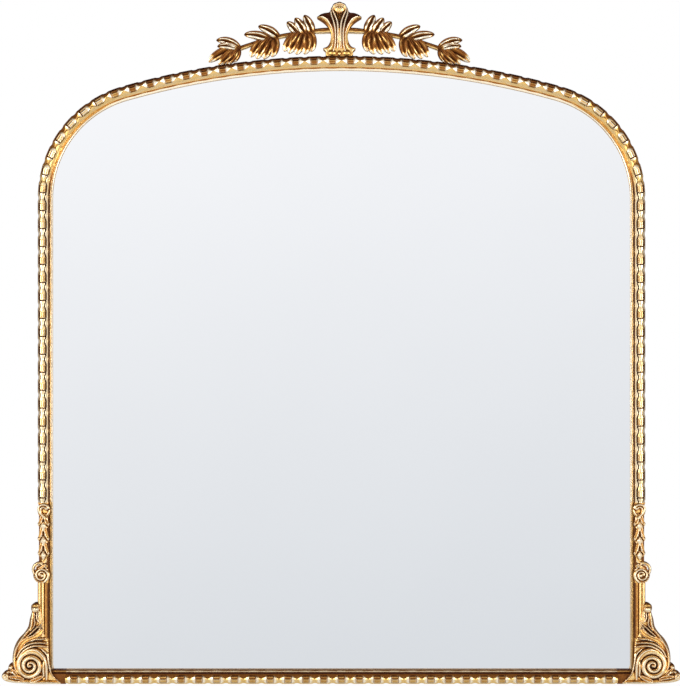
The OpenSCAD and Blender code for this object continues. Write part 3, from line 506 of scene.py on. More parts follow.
# The sight edge of each kind: its tones from its foot to the glass, which paint light and dark lines as
# highlights and shade, and its heights
SIGHT_TABLE = {
    "crown": ((0.55, 0.3, 0.2, 0.6, 1.0, 1.1, 1.1, 1.1, 1.1, 1.1, 1.1, 1.0, 0.8), SIGHT_FLAT),
    "shoulder": ((0.5, 0.4, 0.5, 0.7, 0.6, 0.2, 0.1, 0.5, 1.0, 1.1, 1.1, 1.0, 0.8), SIGHT_FLAT),
    "stile": ((0.0, 0.3, 0.74, 0.78, 0.6, 0.1, 0.0, 0.2, 0.8, 0.9, 0.8, 1.1, 1.1), SIGHT_RIDGE),
    "bottom": ((0.1, 0.5, 1.0, 1.1, 0.9, 0.4, 0.05, 0.0, 0.0, 0.0, 0.1, 0.7, 1.0), SIGHT_FLAT),
}


def look_at(kind, share):
    """The looks of a chain at each row. The shoulders start as the crown and end as the stile."""
    first, last = ("crown", "stile") if kind == "shoulder" else (kind, kind)
    start, end = smooth(0.3, 0.0, share), smooth(0.7, 1.0, share)
    weights = ((start, first), (1 - start - end, kind), (end, last))

    def blend(values):
        a, b, c = (np.multiply.outer(weight, values[name]) for weight, name in weights)
        return a + b + c

    looks = {key: blend(dict(zip(KINDS, row))) for key, row in LOOK_TABLE.items()}
    for key, place in (("sight", 0), ("sight_z", 1)):
        looks[key] = blend({name: SIGHT_TABLE[name][place] for name in KINDS})
    return looks


def bead_line(t, pitch, m, look):
    """Along a chain: how deep the scoops cut the band, the bead's radius, and where its quirks and its
    cones are. A scoop is a circular arc beside a waist, a barrel has a ring at each end, and a cone's
    radius falls from the barrel's to the waist's."""
    a, before = np.abs(t), t < 0
    barrel, tip, r = m.barrel * MM / 2, m.bead_length * MM / 2, m.bead_radius * MM * look["bead"]
    scoop = np.sqrt(np.clip(SCOOP_R ** 2 - (pitch / 2 - a) ** 2, 0, None)) - SCOOP_R + m.scoop * MM
    ring = [barrel - 0.6, barrel - 0.4, barrel - 0.05, barrel]
    radius = np.interp(a, ring, [0, RING_RISE, RING_RISE, 0]) + r
    taper = np.clip((a - barrel) / (tip - barrel), 0, 1) ** 1.5
    radius = np.where(a > barrel, r + (look["waist"] - r) * taper, radius)
    quirk = (a > barrel) & (a < barrel + np.where(before, QUIRK, look["quirk"]))
    radius = np.where(quirk, r * np.where(before, look["stop_before"], look["stop_after"]), radius)
    return np.clip(scoop, 0, None), radius, quirk, (a > barrel) & ~quirk


def bead_columns(t, m, wobble, look, bead, quirk, cone):
    """The bead at each row as u, z and tone: a half circle round the chain's line, with flutes on the
    barrel, lower on the cones, and with painted highlights on the ridges of the flutes and in the middle."""
    phi = np.linspace(-np.pi / 2, np.pi / 2, BEAD_COLS)
    barrel = (np.abs(t) < m.barrel * MM / 2 - 0.5)[:, None]
    flutes = np.cos(m.flutes * phi)
    radius = bead[:, None] + np.where(barrel, m.flute_depth * MM * (flutes - 1), 0.0)
    flat = np.where(cone, CONE_HEIGHT, 1)[:, None]
    z = np.where(cone, CONE_Z, BEAD_Z)[:, None] + radius * np.cos(phi) * flat
    ends = np.where(t < 0, look["cone_before"], look["cone_after"])
    ends = ends + (look["waist_tone"] - ends) * smooth(*CONE_SPAN, np.abs(t))
    ends = np.where(quirk, np.where(t < 0, look["quirk_before"], look["quirk_after"]), ends)
    # The barrel's tone: painted highlights where it faces out and on the flutes' ridges
    middle = (look["barrel"] + wobble * 0.08)[:, None] * (0.7 + 0.5 * np.cos(phi)) * (0.85 + 0.35 * flutes)
    return CHAIN_U + radius * np.sin(phi), z, np.where(barrel, middle, ends[:, None])


def chain_section(t, pitch, m, wobble, look):
    """Section of the bead chain at each row, where t is the distance from the nearest bead's middle.
    From the outside in: the wall, one side of the band, a pocket, the bead, a pocket, the other side."""
    cut, bead, quirk, cone = bead_line(t, pitch, m, look)
    edge = bead + look["groove"] * (1 - 0.25 * smooth(*GROOVE_SPAN, np.abs(t))) + (wobble + 1) * 0.05
    outer = side_of_band(edge, CHAIN_U - cut, OUTER_FOOT, OUTER_RISE, -1,
                         (look["outer"], look["outer_foot"], look["outer_at"]))
    inner = side_of_band(edge, INNER_HALF - INNER_SCOOP * cut, INNER_FOOT, INNER_RISE, 1,
                         (look["inner"], look["inner_foot"], look["inner_at"]))
    middle = bead_columns(t, m, wobble, look, bead, quirk, cone)
    zero = np.zeros_like(t)
    floor = np.where(cone, FACE_Z + look["groove_z"], POCKET_Z)
    dim = np.where(cone, look["groove_tone"], 0.0)
    u = [cut, cut + 0.04, outer[0], CHAIN_U - edge + LEDGE, CHAIN_U - bead - SLIT, middle[0],
         CHAIN_U + bead + SLIT, CHAIN_U + edge - LEDGE, inner[0]]
    z = [zero + SHELL_Z, zero + WALL_TOP, outer[1], floor, floor, middle[1], floor, floor, inner[1]]
    tone = [zero + 0.1, zero + 0.15, outer[2], dim, dim, middle[2], dim, dim, inner[2]]
    return columns(u, z, tone, t, pitch, look["sight"], look["sight_z"])


def columns(u, z, tone, t, pitch, sight, sight_z):
    """Lays a section's columns side by side and closes it with the sight edge, which waves with the
    beads, and with the five corners of the rebate and the back."""
    rows = len(t)
    wave = WAVE_RISE * np.cos(2 * np.pi * t / pitch)[:, None]
    wave = wave * np.exp(-((SIGHT_U - WAVE_U) / WAVE_BREADTH) ** 2)
    u = u + [SIGHT_U + wave]
    z = z + [np.broadcast_to(sight_z, (rows, len(SIGHT_U)))]
    tone = tone + [np.broadcast_to(sight, (rows, len(SIGHT_U)))]
    back_u = np.broadcast_to([RAIL_W, LAND_W, LAND_W, BACK_U, BACK_U], (rows, 5))
    back_z = np.broadcast_to([LIP_Z, LIP_Z, 0, 0, SHELL_Z], (rows, 5))
    return [np.concatenate([x[:, None] if x.ndim == 1 else x for x in part], 1)
            for part in (u + [back_u], z + [back_z], tone + [np.full((rows, 5), 0.3)])]


def plain_section(reeded, level, narrow, kind):
    """Section of the plain face at each row, with three half-round reeds where reeded is 1. level is
    the tone of the plain face, narrow says how far its outer edge is drawn in, and kind picks the sight
    edge."""
    zero = np.zeros(len(reeded))
    face = zero + FACE_Z
    places = ((-REED_GAP, CORD_COLS), (0, BEAD_COLS), (REED_GAP, CORD_COLS))
    reeds = [reed(CHAIN_U + shift, reeded * REED_R, cols) for shift, cols in places]
    a, b, c = reeds
    flat = level * (1 - reeded)
    first, second = ([zero + place for place in pair] for pair in FLATS)
    u = [zero, zero + BEVEL[0], a[0], *first, b[0], *second, c[0]]
    z = [zero + SHELL_Z, face - BEVEL[1], a[1], face, face, b[1], face, face, c[1]]
    u = [narrow.reshape((-1,) + (1,) * (x.ndim - 1)) * (1 - x / SEAT_END) + x for x in u]
    ridge = [np.where(reeded[:, None] > 0, 0.08 + share * x[2], level[:, None])
             for x, share in zip(reeds, REED_TONES)]
    tone = [zero + 0.1, zero + 0.2, ridge[0], flat, flat, ridge[1], flat, flat, ridge[2]]
    sight, sight_z = SIGHT_TABLE[kind]
    return columns(u, z, tone, zero, 1.0, SIGHT_DIM[kind] * np.array(sight), sight_z)


def chain(kind, place, start, chain_length, m, seed, before=None, after=None, halves=1):
    """A stretch of bead chain, with plain moulding before and after it where given, as one surface:
    the section is carried along the path on which place(s, u) gives x and y. The beads are counted for
    one of its equal halves."""
    count = halves * max(1, round(chain_length / halves / (m.pitch * MM)))
    pitch = chain_length / count
    rows = bead_rows(count, pitch, m)
    number = np.clip((rows / pitch).astype(int), 0, count - 1)
    t = rows - (number + 0.5) * pitch
    rng = np.random.default_rng(seed)
    wobble = rng.uniform(-1, 1, count)[number]
    look = look_at(kind, rows / chain_length)
    parts = [(start + rows, chain_section(t, pitch, m, wobble, look))]
    if before is not None:
        parts.insert(0, before)
    if after is not None:
        parts.append(after)
    s = np.concatenate([p[0] for p in parts])
    u, z, tone = [np.concatenate([p[1][k] for p in parts]) for k in range(3)]
    x, y = place(s[:, None], u)
    return tube(np.stack([x + 0 * u, y + 0 * u, z], -1), tone)


def crown_place(s, u):
    """On the crown: s runs along the chain's line from the left joint to the right one."""
    lean = s / (CROWN_R - CHAIN_U) - JOIN_A
    return (CROWN_R - u) * np.sin(lean), CROWN_CY + (CROWN_R - u) * np.cos(lean)


def shoulder_place(s, u):
    """On the right shoulder: s runs down from the joint with the crown."""
    lean = JOIN_A + s / (SHOULDER_R - CHAIN_U)
    return SHOULDER_CX + (SHOULDER_R - u) * np.sin(lean), SPRING_Y + (SHOULDER_R - u) * np.cos(lean)


def mitred(from_corner, u):
    """Distance from the corner that closes to u itself at the mitre and is plain beyond the foot."""
    ramp = u + from_corner * (FOOT_W - u) / FOOT_W
    return np.where(from_corner < FOOT_W, ramp, from_corner)


def stile_place(s, u):
    """On the right stile: s runs down from the shoulder, and the foot is mitred."""
    return HALF_W - u, SILL_Y + mitred(SPRING_Y - s - SILL_Y, u)


def bottom_place(s, u):
    """On the bottom rail: s is x, and both ends are mitred."""
    near = HALF_W - mitred(HALF_W - np.abs(s), u)
    return np.sign(s) * near, SILL_Y + u


def stile_foot(rise):
    """The plain foot of a stile this high: its rows, a hair apart where the reeds start and end, and its
    section, narrower behind the husks and painted darker there as shade."""
    heights = np.concatenate([np.linspace(HUSK_TOP, REED_HEAD, 28),
                              np.linspace(REED_HEAD, REED_FOOT, 24) - 0.03,
                              np.linspace(REED_FOOT, 0, 24) - 0.06])
    heights[0] -= 0.02
    heights[-1] = 0.0
    reeded = ((heights < REED_HEAD) & (heights > REED_FOOT - 0.05)).astype(float)
    # Behind the husks the face is drawn in and painted darker as shade
    hung = smooth(HUSK_TOP, HUSK_TOP - 3, heights) * smooth(REED_HEAD + 14, REED_HEAD + 20, heights)
    return rise - heights, plain_section(reeded, 0.55 - 0.4 * hung, 1.6 * hung, "stile")


def build_rails(m, gilt):
    """The crown, both shoulders, both stiles and the bottom rail."""
    arc = 2 * JOIN_A * (CROWN_R - CHAIN_U)
    crown = chain("crown", crown_place, 0.0, arc, m, seed=3, halves=2)
    piece("crown_moulding", [crown], gilt["arch"], ["crown_rail"])
    arc = (math.pi / 2 - JOIN_A) * (SHOULDER_R - CHAIN_U)
    shoulder = chain("shoulder", shoulder_place, 0.0, arc, m, seed=5)
    rise = SPRING_Y - SILL_Y
    stile = chain("stile", stile_place, 0.0, rise - HUSK_TOP, m, seed=7, after=stile_foot(rise))
    for side, mirrored in SIDES:
        piece("shoulder_moulding_" + side, [shoulder], gilt["arch"], ["shoulder_rail_" + side], mirrored)
        piece("stile_moulding_" + side, [stile], gilt["stile"], ["stile_" + side], mirrored)
    half, rows = HALF_W - FOOT_W, 14
    end = np.linspace(0, FOOT_W - 0.02, rows)
    plain = plain_section(np.zeros(rows), np.full(rows, 0.15), np.zeros(rows), "bottom")
    left, right = (end - HALF_W, plain), (HALF_W - end[::-1], plain)
    bottom = chain("bottom", bottom_place, -half, 2 * half, m, seed=11, before=left, after=right)
    piece("bottom_moulding", [bottom], gilt["bottom"], ["bottom_rail"])


# Carved work


# The heights from which the reliefs rise, and the back of the castings that lie on a rail
PALMETTE_Z, CORNER_Z, VOLUTE_Z, HUSK_Z, SEAT_Z = 15.0, 21.8, 21.4, 21.2, 20.0


def catmull(points, count):
    """A smooth curve through the points (a uniform Catmull-Rom cubic), cut into count points."""
    p = np.array(points, float)
    p = np.concatenate([2 * p[:1] - p[1:2], p, 2 * p[-1:] - p[-2:-1]])
    t = np.linspace(0, len(points) - 1, count)
    i = np.minimum(t.astype(int), len(points) - 2)
    u = (t - i)[:, None]
    a, b, c, d = p[i], p[i + 1], p[i + 2], p[i + 3]
    bent = (2 * a - 5 * b + 4 * c - d) * u ** 2 + (3 * b - a - 3 * c + d) * u ** 3
    return 0.5 * (2 * b + (c - a) * u + bent)


def along(x, y, line):
    """Distance of each place to a line of points, and how far along it the nearest point lies."""
    best, share = np.full(x.shape, 1e9), np.zeros(x.shape)
    for k in range(len(line) - 1):
        a, d = line[k], line[k + 1] - line[k]
        t = np.clip(((x - a[0]) * d[0] + (y - a[1]) * d[1]) / max(d @ d, 1e-9), 0, 1)
        away = np.hypot(x - a[0] - t * d[0], y - a[1] - t * d[1])
        share = np.where(away < best, (k + t) / (len(line) - 1), share)
        best = np.minimum(best, away)
    return best, share


def within(x, y, loop):
    """Distance to a closed loop, positive inside it: the sign comes from counting the loop's crossings."""
    closed = np.concatenate([loop, loop[:1]])
    away = along(x, y, closed)[0]
    inside = np.zeros(x.shape, bool)
    for a, b in zip(closed[:-1], closed[1:]):
        if a[1] != b[1]:
            cut = (a[1] > y) != (b[1] > y)
            inside ^= cut & (x < (b[0] - a[0]) * (y - a[1]) / (b[1] - a[1]) + a[0])
    return np.where(inside, away, -away)


# The sections of a strand: its height as a share, where q is 0 on its line and 1 at its edge
PROFILES = {
    "round": lambda q: np.sqrt(np.clip(1 - 0.88 * q * q, 0, 1)),
    "keel": lambda q: 1 - 0.85 * q,
    "leaf": lambda q: 0.62 + 0.38 * smooth(0.1, 0.5, q) - 0.5 * smooth(0.6, 1, q),
    "dish": lambda q: 0.45 + 0.55 * smooth(0.35, 0.8, q) - 0.35 * smooth(0.88, 1, q),
}


def spread_along(values, share):
    """One number, or evenly spaced ones that are read off at each share of the way."""
    return np.interp(share, np.linspace(0, 1, np.size(values)), np.atleast_1d(values))


def strokes(x, y, lines):
    """Height and tone of a relief made of strokes. Each is a strand along a curve, given as the kind of its
    section, its half width and height, which taper towards the ends, the curve's points and, where it is
    painted lighter as a highlight or darker as shade, by how much. Where strokes cross, the higher one
    shows."""
    # glow is painted light, and painted shade where it is below 0
    z, glow = np.zeros(x.shape), np.zeros(x.shape)
    for kind, width, height, points, *light in lines:
        line = catmull(points, 6 * len(points))
        reach = np.max(width) + 0.5
        low, high = line.min(0) - reach, line.max(0) + reach
        near = (x > low[0]) & (x < high[0]) & (y > low[1]) & (y < high[1])
        away, share = along(x[near], y[near], line)
        ends = np.sin(np.pi * (0.14 + 0.72 * share))
        wide = spread_along(width, share) * (0.45 + 0.55 * ends if np.size(width) == 1 else 1)
        q = away / wide
        tall = spread_along(height, share) * (0.6 + 0.4 * ends) * PROFILES[kind](np.minimum(q, 1))
        shows = (q < 1) & (tall > z[near])
        z[near] = np.where(shows, tall, z[near])
        glow[near] = np.where(shows, light[0] if light else 0, glow[near])
    return z, glow


def bosses(x, y, domes):
    """Height of round or oval domes, each given as its middle, its two radii and its height."""
    z = np.zeros(x.shape)
    for px, py, rx, ry, height in domes:
        q = ((x - px) / rx) ** 2 + ((y - py) / ry) ** 2
        z = np.maximum(z, height * np.sqrt(np.clip(1 - q, 0, 1)))
    return z


def blur(z, cells):
    """Smooths a grid by a bell curve of this many cells."""
    reach = int(math.ceil(2.2 * cells))
    for axis in (0, 1):
        padded = np.pad(z, [(reach, reach) if k == axis else (0, 0) for k in (0, 1)], mode="edge")
        total, sum_w = 0, 0
        for k in range(-reach, reach + 1):
            w = math.exp(-0.5 * (k / cells) ** 2)
            total = total + w * np.take(padded, range(reach + k, reach + k + z.shape[axis]), axis)
            sum_w += w
        z = total / sum_w
    return z


def rim_edges(quads, count):
    """The edges that only one of the faces has, as pairs of corner numbers below count."""
    edges = np.concatenate([quads[:, [k, (k + 1) % 4]] for k in range(4)])
    code = edges.min(1) * count + edges.max(1)
    first, times = np.unique(code, return_index=True, return_counts=True)[1:]
    return edges[first[times == 1]]


def carving(span, step, outline, relief, back, edge, base_tone):
    """A closed carving: a height field over the grid where outline is positive. The grid's rim is moved onto
    the outline along its slope, the last edge millimetres are rounded off as a quarter circle, and walls
    join the rim to a flat back. Tone is the height over its own blurred surroundings, darker in the hollows
    for wax and as painted shade and lighter on the rubbed tops, plus the strokes' painted light and shade."""
    x, y = np.meshgrid(np.arange(span[0], span[1] + step, step), np.arange(span[2], span[3] + step, step))
    inside = outline(x, y)
    z, glow = relief(x, y)
    z = blur(z, 0.25 / step)
    off = np.clip(1 - inside / edge, 0, 1)
    z = z - edge * (1 - np.sqrt(1 - np.minimum(off, 0.98) ** 2))
    proud = z - blur(z, 1.5 / step)
    fine = z - blur(z, 0.6 / step)
    # Wax and painted shade darken the hollows, rubbing lightens the proud tops, and glow adds the strokes'
    # painted light and shade
    tone = base_tone + 0.24 * proud + 0.3 * fine + blur(glow, 0.2 / step)
    keep = inside > -0.5 * step
    full = keep[:-1, :-1] & keep[:-1, 1:] & keep[1:, 1:] & keep[1:, :-1]
    quads = grid_quads(*x.shape).reshape(full.shape + (4,))[full]
    used, quads = np.unique(quads, return_inverse=True)
    quads = quads.reshape(-1, 4)
    count = len(used)
    rim = rim_edges(quads, count)
    on_rim = np.unique(rim)
    gy, gx = (g.ravel()[used][on_rim] for g in np.gradient(inside, step))
    move = inside.ravel()[used][on_rim] / np.maximum(gx ** 2 + gy ** 2, 0.25)
    p = np.stack([x.ravel()[used], y.ravel()[used], z.ravel()[used]], 1)
    rear = p.copy()
    p[on_rim, 0] -= move * gx
    p[on_rim, 1] -= move * gy
    rear[:, :2] = p[:, :2]
    rear[:, 2] = back(x.ravel()[used])
    walls = np.stack([rim[:, 1], rim[:, 0], rim[:, 0] + count, rim[:, 1] + count], 1)
    faces = np.concatenate([quads, quads[:, ::-1] + count, walls])
    shade = tone.ravel()[used]
    return np.concatenate([p, rear]), [faces], np.concatenate([shade, 0 * shade + 0.25])


def moved(part, x, y, z=0.0):
    """A part shifted by x, y and z."""
    return part[0] + [x, y, z], part[1], part[2]


def twice(rows):
    """Strokes or domes of the right half together with their mirror images."""
    flipped = []
    for row in rows:
        if isinstance(row[0], str):
            flipped.append((*row[:3], [(-a, b) for a, b in row[3]], *row[4:]))
        else:
            flipped.append((-row[0], *row[1:]))
    return rows + flipped


# The palmette, from the middle of its foot: the dome, the button and the foot's middle lobe, then the right
# edge, strokes and domes. RIDGE_LINE gives the ridge's height at distances from the middle, and STRAND_LINE
# the outer strand's distance from the middle at heights.
DOME_Y, DOME_R = 62.4, 10.7
BUTTON = (0, 64.2, 8.2, 5.6, 4.0)
LOBE = (0, 3.6, 3.3, 4.2, 4.6)
RIDGE_LINE = ([8.5, 13.4, 16.8, 22.6, 29], [38, 44.6, 50, 53.6, 53.4])
STRAND_LINE = ([38, 46, 54.4, 60, 64], [7.2, 9, 12, 13.2, 13])
PALMETTE_EDGE = [
    (4.4, -1.2), (6.2, -1.8), (11.4, -1.9), (16.4, -0.8), (18.6, 3), (18.6, 6.6), (22, 10.3), (17, 12.6),
    (13.9, 16.4), (11.9, 22), (11.3, 28), (12.3, 33.6), (15.2, 39.8), (19.2, 44.8), (24.2, 48.8),
    (30.2, 52.8), (28.4, 54.8), (25, 57.2), (20, 58.9), (14.6, 59.6), (12.2, 61.6)
]
# In these strokes and the middle ones below, the last number, where given, is painted light, and painted
# shade below 0
PALMETTE_LINES = [
    ("keel", (1.4, 4.6, 5.2, 4.2, 2.7, 2.1, 1.8, 2.1, 2.7, 3),
     (2.0, 4.8, 5.6, 5.2, 4.4, 3.8, 3.6, 3.6, 3.8, 3),
     [(29, 53), (22.6, 53.3), (16.8, 49.8), (13.4, 44.4), (10.6, 38), (8.7, 31), (8.5, 21), (10.4, 14),
      (13.4, 10), (15, 8)]),
    ("round", 1.3, 5.2, [(11.2, 64), (11.5, 60), (10.3, 54.4), (7.6, 46), (5.7, 36.5), (5.2, 25), (6, 14.4),
                         (7.6, 9), (8, 7)], 0.3),
    ("round", 1.35, 5.6, [(9.2, 65), (8.5, 61), (6.7, 57), (3.6, 49.8), (2.2, 42.2), (1.9, 32.6), (2.0, 22),
                          (2.4, 10)], 0.24),
    ("keel", 1.3, 3.0, [(12.2, 17), (15.6, 12.2), (21.6, 10.2)], -0.4),
    ("round", 0.55, 2.2, [(2.6, 59), (2.2, 55), (1.2, 51)]),
]
PALMETTE_MIDDLE = [
    ("round", 1.0, 4.6, [(0, 38), (0, 26), (0, 10)], 0.2),
    ("round", 0.7, 2.6, [(0, 59), (0, 53), (0, 47)]),
    ("round", 1.0, 5.4,
     [(-9, 65), (-7, 68.9), (-3.6, 70.7), (0, 71.2), (3.6, 70.7), (7, 68.9), (9, 65)], 0.3),
]
PALMETTE_DOMES = [(9.6, 4.4, 6.6, 4.8, 4.4)]


def palmette(o):
    """The crest: a scalloped dome over an oval button, looped strands, two drooping horns with a
    ridge, a waist of reeds and a flared foot with three lobes."""
    turn = np.radians(np.linspace(6, 174, 85))
    scallops = np.abs(np.sin(4.286 * (turn - np.pi / 2) + np.pi / 2))
    wide = DOME_R + 0.95 * scallops
    dome = np.stack([wide * np.cos(turn), DOME_Y + wide * np.sin(turn)], 1)
    side = catmull(PALMETTE_EDGE, 130)
    loop = np.concatenate([[(0, -1.4)], side, dome, side[::-1] * [-1, 1]])

    def relief(x, y):
        # The dome's ribbed shell round a shallow bowl, then the strokes, the lobes of the foot and, in the
        # bowl, the ribbed button. The ground between strands is darker, painted shade falls over the ridge,
        # round the dome's rim and at the foot, and the button gets a painted highlight, most at its top.
        far = np.hypot(x, y - DOME_Y)
        angle = np.arctan2(y - DOME_Y, x)
        up = smooth(-0.1, 0.25, np.sin(angle))
        ribs = 0.8 + 0.2 * np.cos(15 * (angle - np.pi / 2))
        shell = 5.2 * up * np.exp(-((far - 9.9) / 1.25) ** 2) * ribs
        bowl = 2.4 * up * (far < 9.5)
        z, glow = strokes(x, y, twice(PALMETTE_LINES) + PALMETTE_MIDDLE)
        z = np.maximum(np.maximum(z, shell), 2.4 * smooth(48, 44, y))
        z = np.maximum(z, bosses(x, y, twice(PALMETTE_DOMES) + [LOBE]))
        glow = glow - (0.15 + 0.25 * smooth(36, 46, y)) * (z < 2.6) * smooth(8, 12, y)
        over_ridge = y - np.interp(np.abs(x), *RIDGE_LINE)
        past_strand = np.abs(x) - np.interp(y, *STRAND_LINE)
        glow = glow - 0.5 * smooth(0.2, 1.2, over_ridge) * smooth(0, 0.6, past_strand)
        button = bosses(x, y, [BUTTON]) * (0.94 + 0.06 * np.cos(2.2 * x) * np.cos(1.7 * y))
        glow = glow + (0.3 + 0.5 * smooth(63, 68, y)) * (button > z)
        glow = glow - 1.5 * up * smooth(9.9, DOME_R, far) - 0.2 * smooth(7, 4, y)
        return PALMETTE_Z + o.relief * np.maximum(np.maximum(z, button), bowl), glow

    part = carving((-31, 31, -2.8, 75), o.step * MM * 0.9, lambda x, y: within(x, y, loop), relief,
                   lambda x: 0 * x, edge=1.3, base_tone=0.64)
    return moved(part, CREST_X, CROWN_Y)


# The stems: radius of their bend, rise over the crown and height over the back. The crest stands a little
# left of the middle.
STEM_BEND, STEM_RISE, STEM_Z = 380.0, 35.6, 11.0
CREST_X = -3.0


def stem_at(x):
    """The stems' line: a circular arc over the crown, x to the side."""
    return x, CROWN_Y + STEM_RISE - STEM_BEND + np.sqrt(STEM_BEND ** 2 - x * x)


def swept(x, radius, rng, tone):
    """A round rod along the stems' line: rings at x of this radius, with small dents and a groove along the
    front. The tone is painted light and shade: it falls from tone at the underside to painted shade on top,
    the groove is painted dark, and a painted highlight runs above it."""
    px, py = stem_at(x)
    lean = -np.arcsin(x / STEM_BEND)
    angle = np.linspace(0, 2 * np.pi, 32, endpoint=False)
    dents = 1 + 0.03 * np.sin(3 * angle + rng.uniform(0, 6)) * np.sin(x[:, None] * 0.9)
    winding = 0.47 * np.pi - 0.12 * np.sin(x[:, None] * 0.5)
    groove = np.exp(-((angle - winding) / 0.2) ** 2)
    r = radius[:, None] * dents * (1 - 0.12 * groove)
    across, out = r * np.cos(angle), r * np.sin(angle)
    points = np.stack([px[:, None] - across * np.sin(lean)[:, None],
                       py[:, None] + across * np.cos(lean)[:, None], STEM_Z + out], -1)
    # Painted light and shade: dark on top, light underneath, a painted highlight above the groove and
    # painted shade in it
    light = 0.46 - 0.42 * np.cos(angle) + 0.35 * np.exp(-((angle - 0.33 * np.pi) / 0.2) ** 2)
    return tube(points, tone * light * (1 - 0.85 * groove) + 0 * r)


# How many columns the face and the underside of a leaf get
FACE_COLS, UNDER_COLS = 33, 7


def leaf(o, start, heading, size, bow, half, upper, rng):
    """One leaf: rings along a bowed line whose half width swells at once, keeps and closes in a round tip.
    The section has a thick raised rim, two swelling lobes and a sunk vein, and the tip curls over. The tone
    is painted light: upper leaves get painted highlights on their lobes, and lower ones dark lobes with
    broken painted highlights and a lighter tip."""
    t = np.sin(np.pi / 2 * np.linspace(0, 1, 34)) ** 1.15
    close = (1 - t ** (3.6 if upper else 5.0)) ** 0.6
    swell = 0.5 + 0.5 * np.sin(np.pi / 2 * np.minimum(1, 2.2 * t))
    wide = np.maximum(0.06, swell * close) * half
    q = np.concatenate([np.linspace(-1, 1, FACE_COLS), np.linspace(0.9, -0.9, UNDER_COLS)])
    top = np.arange(FACE_COLS + UNDER_COLS) < FACE_COLS
    a = np.abs(q)
    lobes = 0.74 + 0.16 * np.exp(-((a - 0.45) / 0.2) ** 2) - 0.24 * np.exp(-(q / 0.12) ** 2)
    rim = 0.14 * np.exp(-((a - 0.86) / 0.1) ** 2)
    section = np.where(top, (lobes + rim) * smooth(1.03, 0.93, a) + 0.1, 0.0)
    thick = 0.55 + 0.45 * np.sin(np.pi * t ** 0.7)
    ripple = 1 + 0.07 * np.sin(14 * t[:, None] + 3 * q + rng.uniform(0, 6))
    z = o.leaf_rise * MM * thick[:, None] * section * ripple
    curl = (1.6 * t ** 2 - 3.2 * np.clip(t - 0.72, 0, 1) * t)[:, None]
    along_x = (size + 3) * t - 3
    middle = 4 * bow * t * (1 - t)
    slope = np.arctan2(4 * bow * (1 - 2 * t), size)
    px = along_x[:, None] - (wide * np.sin(slope))[:, None] * q
    py = middle[:, None] + (wide * np.cos(slope))[:, None] * q
    turn = math.radians(heading)
    sx, sy = stem_at(start)
    level = STEM_Z - 0.2 + rng.uniform(-0.6, 0.6)
    points = np.stack([sx + px * math.cos(turn) - py * math.sin(turn),
                       sy + px * math.sin(turn) + py * math.cos(turn), level + z + curl + 0 * px], -1)
    # Painted light: highlights on the lobes, one edge left in painted shade and the other dimmed; the
    # underside is dark
    light = smooth(0.24, 0.4, a) * (1 - 0.95 * smooth(0.58, 0.7, q)) * (1 - 0.4 * smooth(0.8, 0.9, -q))
    if upper:
        body = smooth(0.08, 0.3, t) * smooth(0.98, 0.8, t)
        tone = 0.08 + body[:, None] * 1.1 * light
    else:
        broken = 0.55 + 0.45 * np.sin(11 * t[:, None] + 2 * q + 0.7 * heading)
        line = np.exp(-((a - 0.55) / 0.12) ** 2) * broken
        tip = smooth(0.74, 0.88, t)[:, None]
        body = smooth(0.1, 0.3, t)[:, None]
        tone = 0.14 + 0.62 * body * line * (1 - tip) + tip * (0.72 + 0.25 * light)
    tone = np.where(top, tone, 0.12)
    return tube(points, tone)


# The leaves of each spray: where on the stem they start, heading in degrees, length, bow and half width
LEAVES = {
    "inner": [(38, 66, 24.4, 1, 7.2), (48, 57, 23, 1, 7), (57, 47, 21, 1, 6.6), (57.5, -55, 30, 2, 6.8),
              (54, -63, 31.5, 1, 7.2), (49.5, -73, 31, -1, 7.4), (45.5, -86, 30, -3, 7.2),
              (42.5, -98, 27, -4, 6.4)],
    "middle": [(84, 29, 30, 2.4, 6.8), (97, 11, 33, 2.6, 6.6), (102, -52, 29, 3, 6.4),
               (97, -60, 30.5, 1, 6.8), (92.5, -70, 29.5, -1, 6.8), (88.5, -82, 26, -3, 6.3)],
    "outer": [(137, 21, 32.4, 4.6, 6.3), (138, 7, 28, 3, 5.6), (140, -24, 41, 4.4, 7.2),
              (140, -41, 32, 1, 6.6), (139, -54, 25, -1, 6.2), (138.5, -70, 18, -2, 5.2)],
}


def spray(o, name):
    """The leaves of one spray and the ribbed sheath that holds them on the stem."""
    leaves = LEAVES[name]
    rng = np.random.default_rng(len(name) * 7)
    parts = [leaf(o, *row, row[1] > 0, rng) for row in leaves]
    first, last = min(r[0] for r in leaves) - 1.5, max(r[0] for r in leaves) + 2.5
    x = np.linspace(first, last, 60)
    s = (x - first) / (last - first)
    r0 = o.stem_radius * MM
    ribs = 1 + 0.05 * np.cos(s * 2 * np.pi * max(3, len(leaves)))
    radius = (r0 + 0.2 + 0.7 * np.sin(np.pi * s) ** 0.5) * ribs
    parts.append(swept(x, radius, rng, 0.55))
    return parts


def stem(o):
    """A stem rod, a little uneven and thicker where it leaves the palmette."""
    x = np.linspace(5.3, 143, 140)
    r0 = o.stem_radius * MM
    radius = r0 * (1 + 0.02 * np.sin(x * 0.35)) + 0.8 * smooth(46, 20, x)
    return [swept(x, radius, np.random.default_rng(4), 0.9)]


